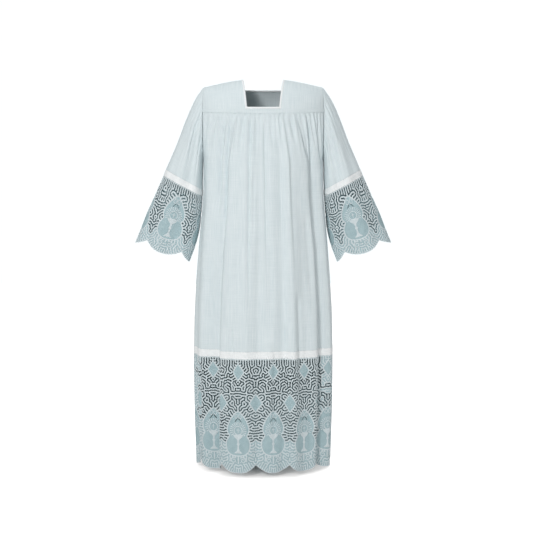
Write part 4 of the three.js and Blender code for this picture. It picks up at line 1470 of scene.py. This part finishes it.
def place_on(surface, length, depth, places):
    """Puts flat lace on a grid of cloth, in between its points."""
    rows, columns = surface.shape[:2]
    r = np.clip(places[:, 1] / depth * (rows - 1), 0, rows - 1.0001)
    c = np.clip(places[:, 0] / length * (columns - 1), 0, columns - 1.0001)
    return grid_value(surface, r, c) + grid_value(grid_normals(surface), r, c) * places[:, 2:]


def lace_piece(node, surface, length, depth, walls):
    """A lace piece: its taped part and its net, each a closed thin solid."""
    vertices, polygons, slots = [], [], []
    count = 0
    for number, (places, triangles, quads) in enumerate(walls):
        vertices.append(places)
        polygons += (triangles + count).tolist() + (quads + count).tolist()
        slots += [min(number, 1)] * (len(triangles) + len(quads))
        count += len(places)
    flat = np.vstack(vertices)
    mesh = bpy.data.meshes.new(node + "_net")
    mesh.from_pydata((place_on(surface, length, depth, flat) * MM).tolist(), [], polygons)
    mesh.polygons.foreach_set("material_index", slots)
    set_uv(mesh, np.column_stack([flat[:, 0], -flat[:, 1]]) * MM)
    mesh.update()
    piece = bpy.data.objects.new(node + "_net", mesh)
    bpy.context.scene.collection.objects.link(piece)
    return dress(piece, node, [LACE_TAPE, NET_WITH_PAINTED_SHADE], 60)


def lace_walls(chart, first_column, repeats, closed_sides):
    """The lace's solids: open between the tapes at the front, and on its net ground at the back."""
    rolled = [np.roll(field, -first_column, axis=1) for field in chart]
    tape, net, ground = (np.hstack([field, field[:, :1]]) for field in rolled)
    taped = lace_wall(lace_tile(tape, TAPE_CROWN, TAPE_FACES, TAPE_STEPS), repeats)
    nets = [(net, 0, repeats)]
    if closed_sides:
        first, last = side_net(tape, net, ground, True), side_net(tape, net, ground, False)
        nets = [(first, 0, 1), (net, 1, repeats - 2), (last, repeats - 1, 1)]
    walls = {"front": [taped], "back": [taped]}
    for field, start, count in nets:
        tile = lace_tile(field, 0, NET_FACES, NET_STEPS["front"])
        walls["front"].append(lace_wall(tile, count, start))
    tile = lace_tile(ground, 0, NET_FACES, NET_STEPS["back"])
    walls["back"].append(lace_wall(tile, repeats))
    return walls


def hem_surface(panel):
    """The cloth on which the hem's lace lies, from the band's foot down."""
    levels = HEM_BAND_FOOT - SEAM / 2 - np.linspace(0, LACE_DEPTH, 60)
    share = np.linspace(0.0003, 0.9997, 620)
    return np.array([BodySection(panel, z).even_cloth(share) for z in levels])


def cuff_surface(side, half):
    """The cloth on which half a cuff's lace lies, from the band's foot down."""
    start = 0 if (half == "front") == (side < 0) else math.pi
    share = np.linspace(0.0006, 0.9994, 200)
    surface = []
    for row in mix(SLEEVE_BAND_FOOT + 0.004, CUFF_FOOT, np.linspace(0, 1, 44)):
        turns = even_turns(side, row, share, start, start + math.pi)
        surface.append(sleeve_surface(side, row, turns))
    return np.array(surface)


def make_hem_lace():
    """The hem's lace, six repeats at the front and six at the back."""
    chart = lace_chart("hem", LACE_DEPTH, 0, HEM_DIAMONDS)
    walls = lace_walls(chart, CHART_COLUMNS // 4, HEM_REPEATS, True)
    for panel in NECK:
        node = "hem_lace_" + panel
        length = HEM_REPEATS * REPEAT
        lace_piece(node, hem_surface(panel), length, LACE_DEPTH, walls[panel])


def make_cuff_lace():
    """The cuffs' lace, two repeats at the front and two at the back of each arm."""
    chart = lace_chart("cuff", CUFF_LACE_DEPTH, CUFF_MOTIF_SHIFT, ())
    walls = lace_walls(chart, CHART_COLUMNS // 2, CUFF_REPEATS, False)
    for name, side in ARMS.items():
        for half in NECK:
            node = "cuff_lace_" + name + "_" + half
            length = CUFF_REPEATS * REPEAT
            lace_piece(node, cuff_surface(side, half), length, CUFF_LACE_DEPTH, walls[half])


for panel in NECK:
    make_body(panel)
    make_yoke(panel)
    make_yoke_band(panel)
    make_neck_binding(panel)
    make_hem_band(panel)
for name, side in ARMS.items():
    make_sleeve(side, name)
    make_sleeve_band(side, name)
make_hem_lace()
make_cuff_lace()


def make_stage():
    # Matt studio paper, pale: it takes the soft shadow under the hem. Away from the hem it is
    # brighter to the camera, so that it meets the backdrop without a line.
    bpy.ops.mesh.primitive_plane_add(size=FLOOR_SIZE, location=(0, 0, FLOOR_HEIGHT))
    floor = bpy.context.object
    floor.name = "floor"
    material = bpy.data.materials.new("pale_studio_paper")
    material.use_nodes = True
    tree = material.node_tree
    tree.nodes.clear()
    seen = add(tree, "ShaderNodeLightPath").outputs["Is Camera Ray"]
    place = add(tree, "ShaderNodeTexCoord").outputs["Object"]
    away = add(tree, "ShaderNodeVectorMath", {0: place}, operation="LENGTH").outputs["Value"]
    near, far = FLOOR_BRIGHTENS
    spread = add(tree, "ShaderNodeMapRange",
                 {"Value": away, "From Min": near, "From Max": far, "To Max": FLOOR_GLOW},
                 interpolation_type="SMOOTHSTEP").outputs["Result"]
    glow = add(tree, "ShaderNodeMath", {0: seen, 1: spread}, operation="MULTIPLY").outputs["Value"]
    shader = add(tree, "ShaderNodeBsdfPrincipled",
                 {"Base Color": colour("fbf8f6"), "Roughness": 0.9, "Specular IOR Level": 0.1,
                  "Emission Color": colour("fffdfc"), "Emission Strength": glow})
    add(tree, "ShaderNodeOutputMaterial", {"Surface": shader.outputs["BSDF"]})
    floor.data.materials.append(material)


def area_light(name, place, aim, size, power):
    """A round soft light that points at a place."""
    lamp = bpy.data.lights.new(name, "AREA")
    lamp.shape = "DISK"
    lamp.size = size
    lamp.energy = power
    light = bpy.data.objects.new(name, lamp)
    light.location = place
    light.rotation_euler = (Vector(aim) - Vector(place)).to_track_quat("-Z", "Y").to_euler()
    bpy.context.scene.collection.objects.link(light)


def make_light():
    world = bpy.data.worlds.new("studio")
    bpy.context.scene.world = world
    world.use_nodes = True
    tree = world.node_tree
    tree.nodes.clear()
    seen = add(tree, "ShaderNodeLightPath").outputs["Is Camera Ray"]
    strength = add(tree, "ShaderNodeMath", {0: seen, 1: SKY_TO_CAMERA, 2: SKY_LIGHT},
                   operation="MULTIPLY_ADD").outputs["Value"]
    sky = add(tree, "ShaderNodeBackground", {"Color": colour("f7fcfe"), "Strength": strength})
    add(tree, "ShaderNodeOutputWorld", {"Surface": sky.outputs["Background"]})
    for light in LIGHTS:
        area_light(*light)


def make_camera():
    camera = bpy.data.cameras.new("camera")
    camera.lens = CAMERA_LENS
    camera.sensor_width = CAMERA_SENSOR
    view = bpy.data.objects.new("camera", camera)
    view.location = CAMERA_PLACE
    view.rotation_euler = (math.radians(90 - CAMERA_TILT), 0, 0)
    bpy.context.scene.collection.objects.link(view)
    bpy.context.scene.camera = view


make_stage()
make_light()
make_camera()
bpy.context.scene.view_settings.view_transform = "Standard"
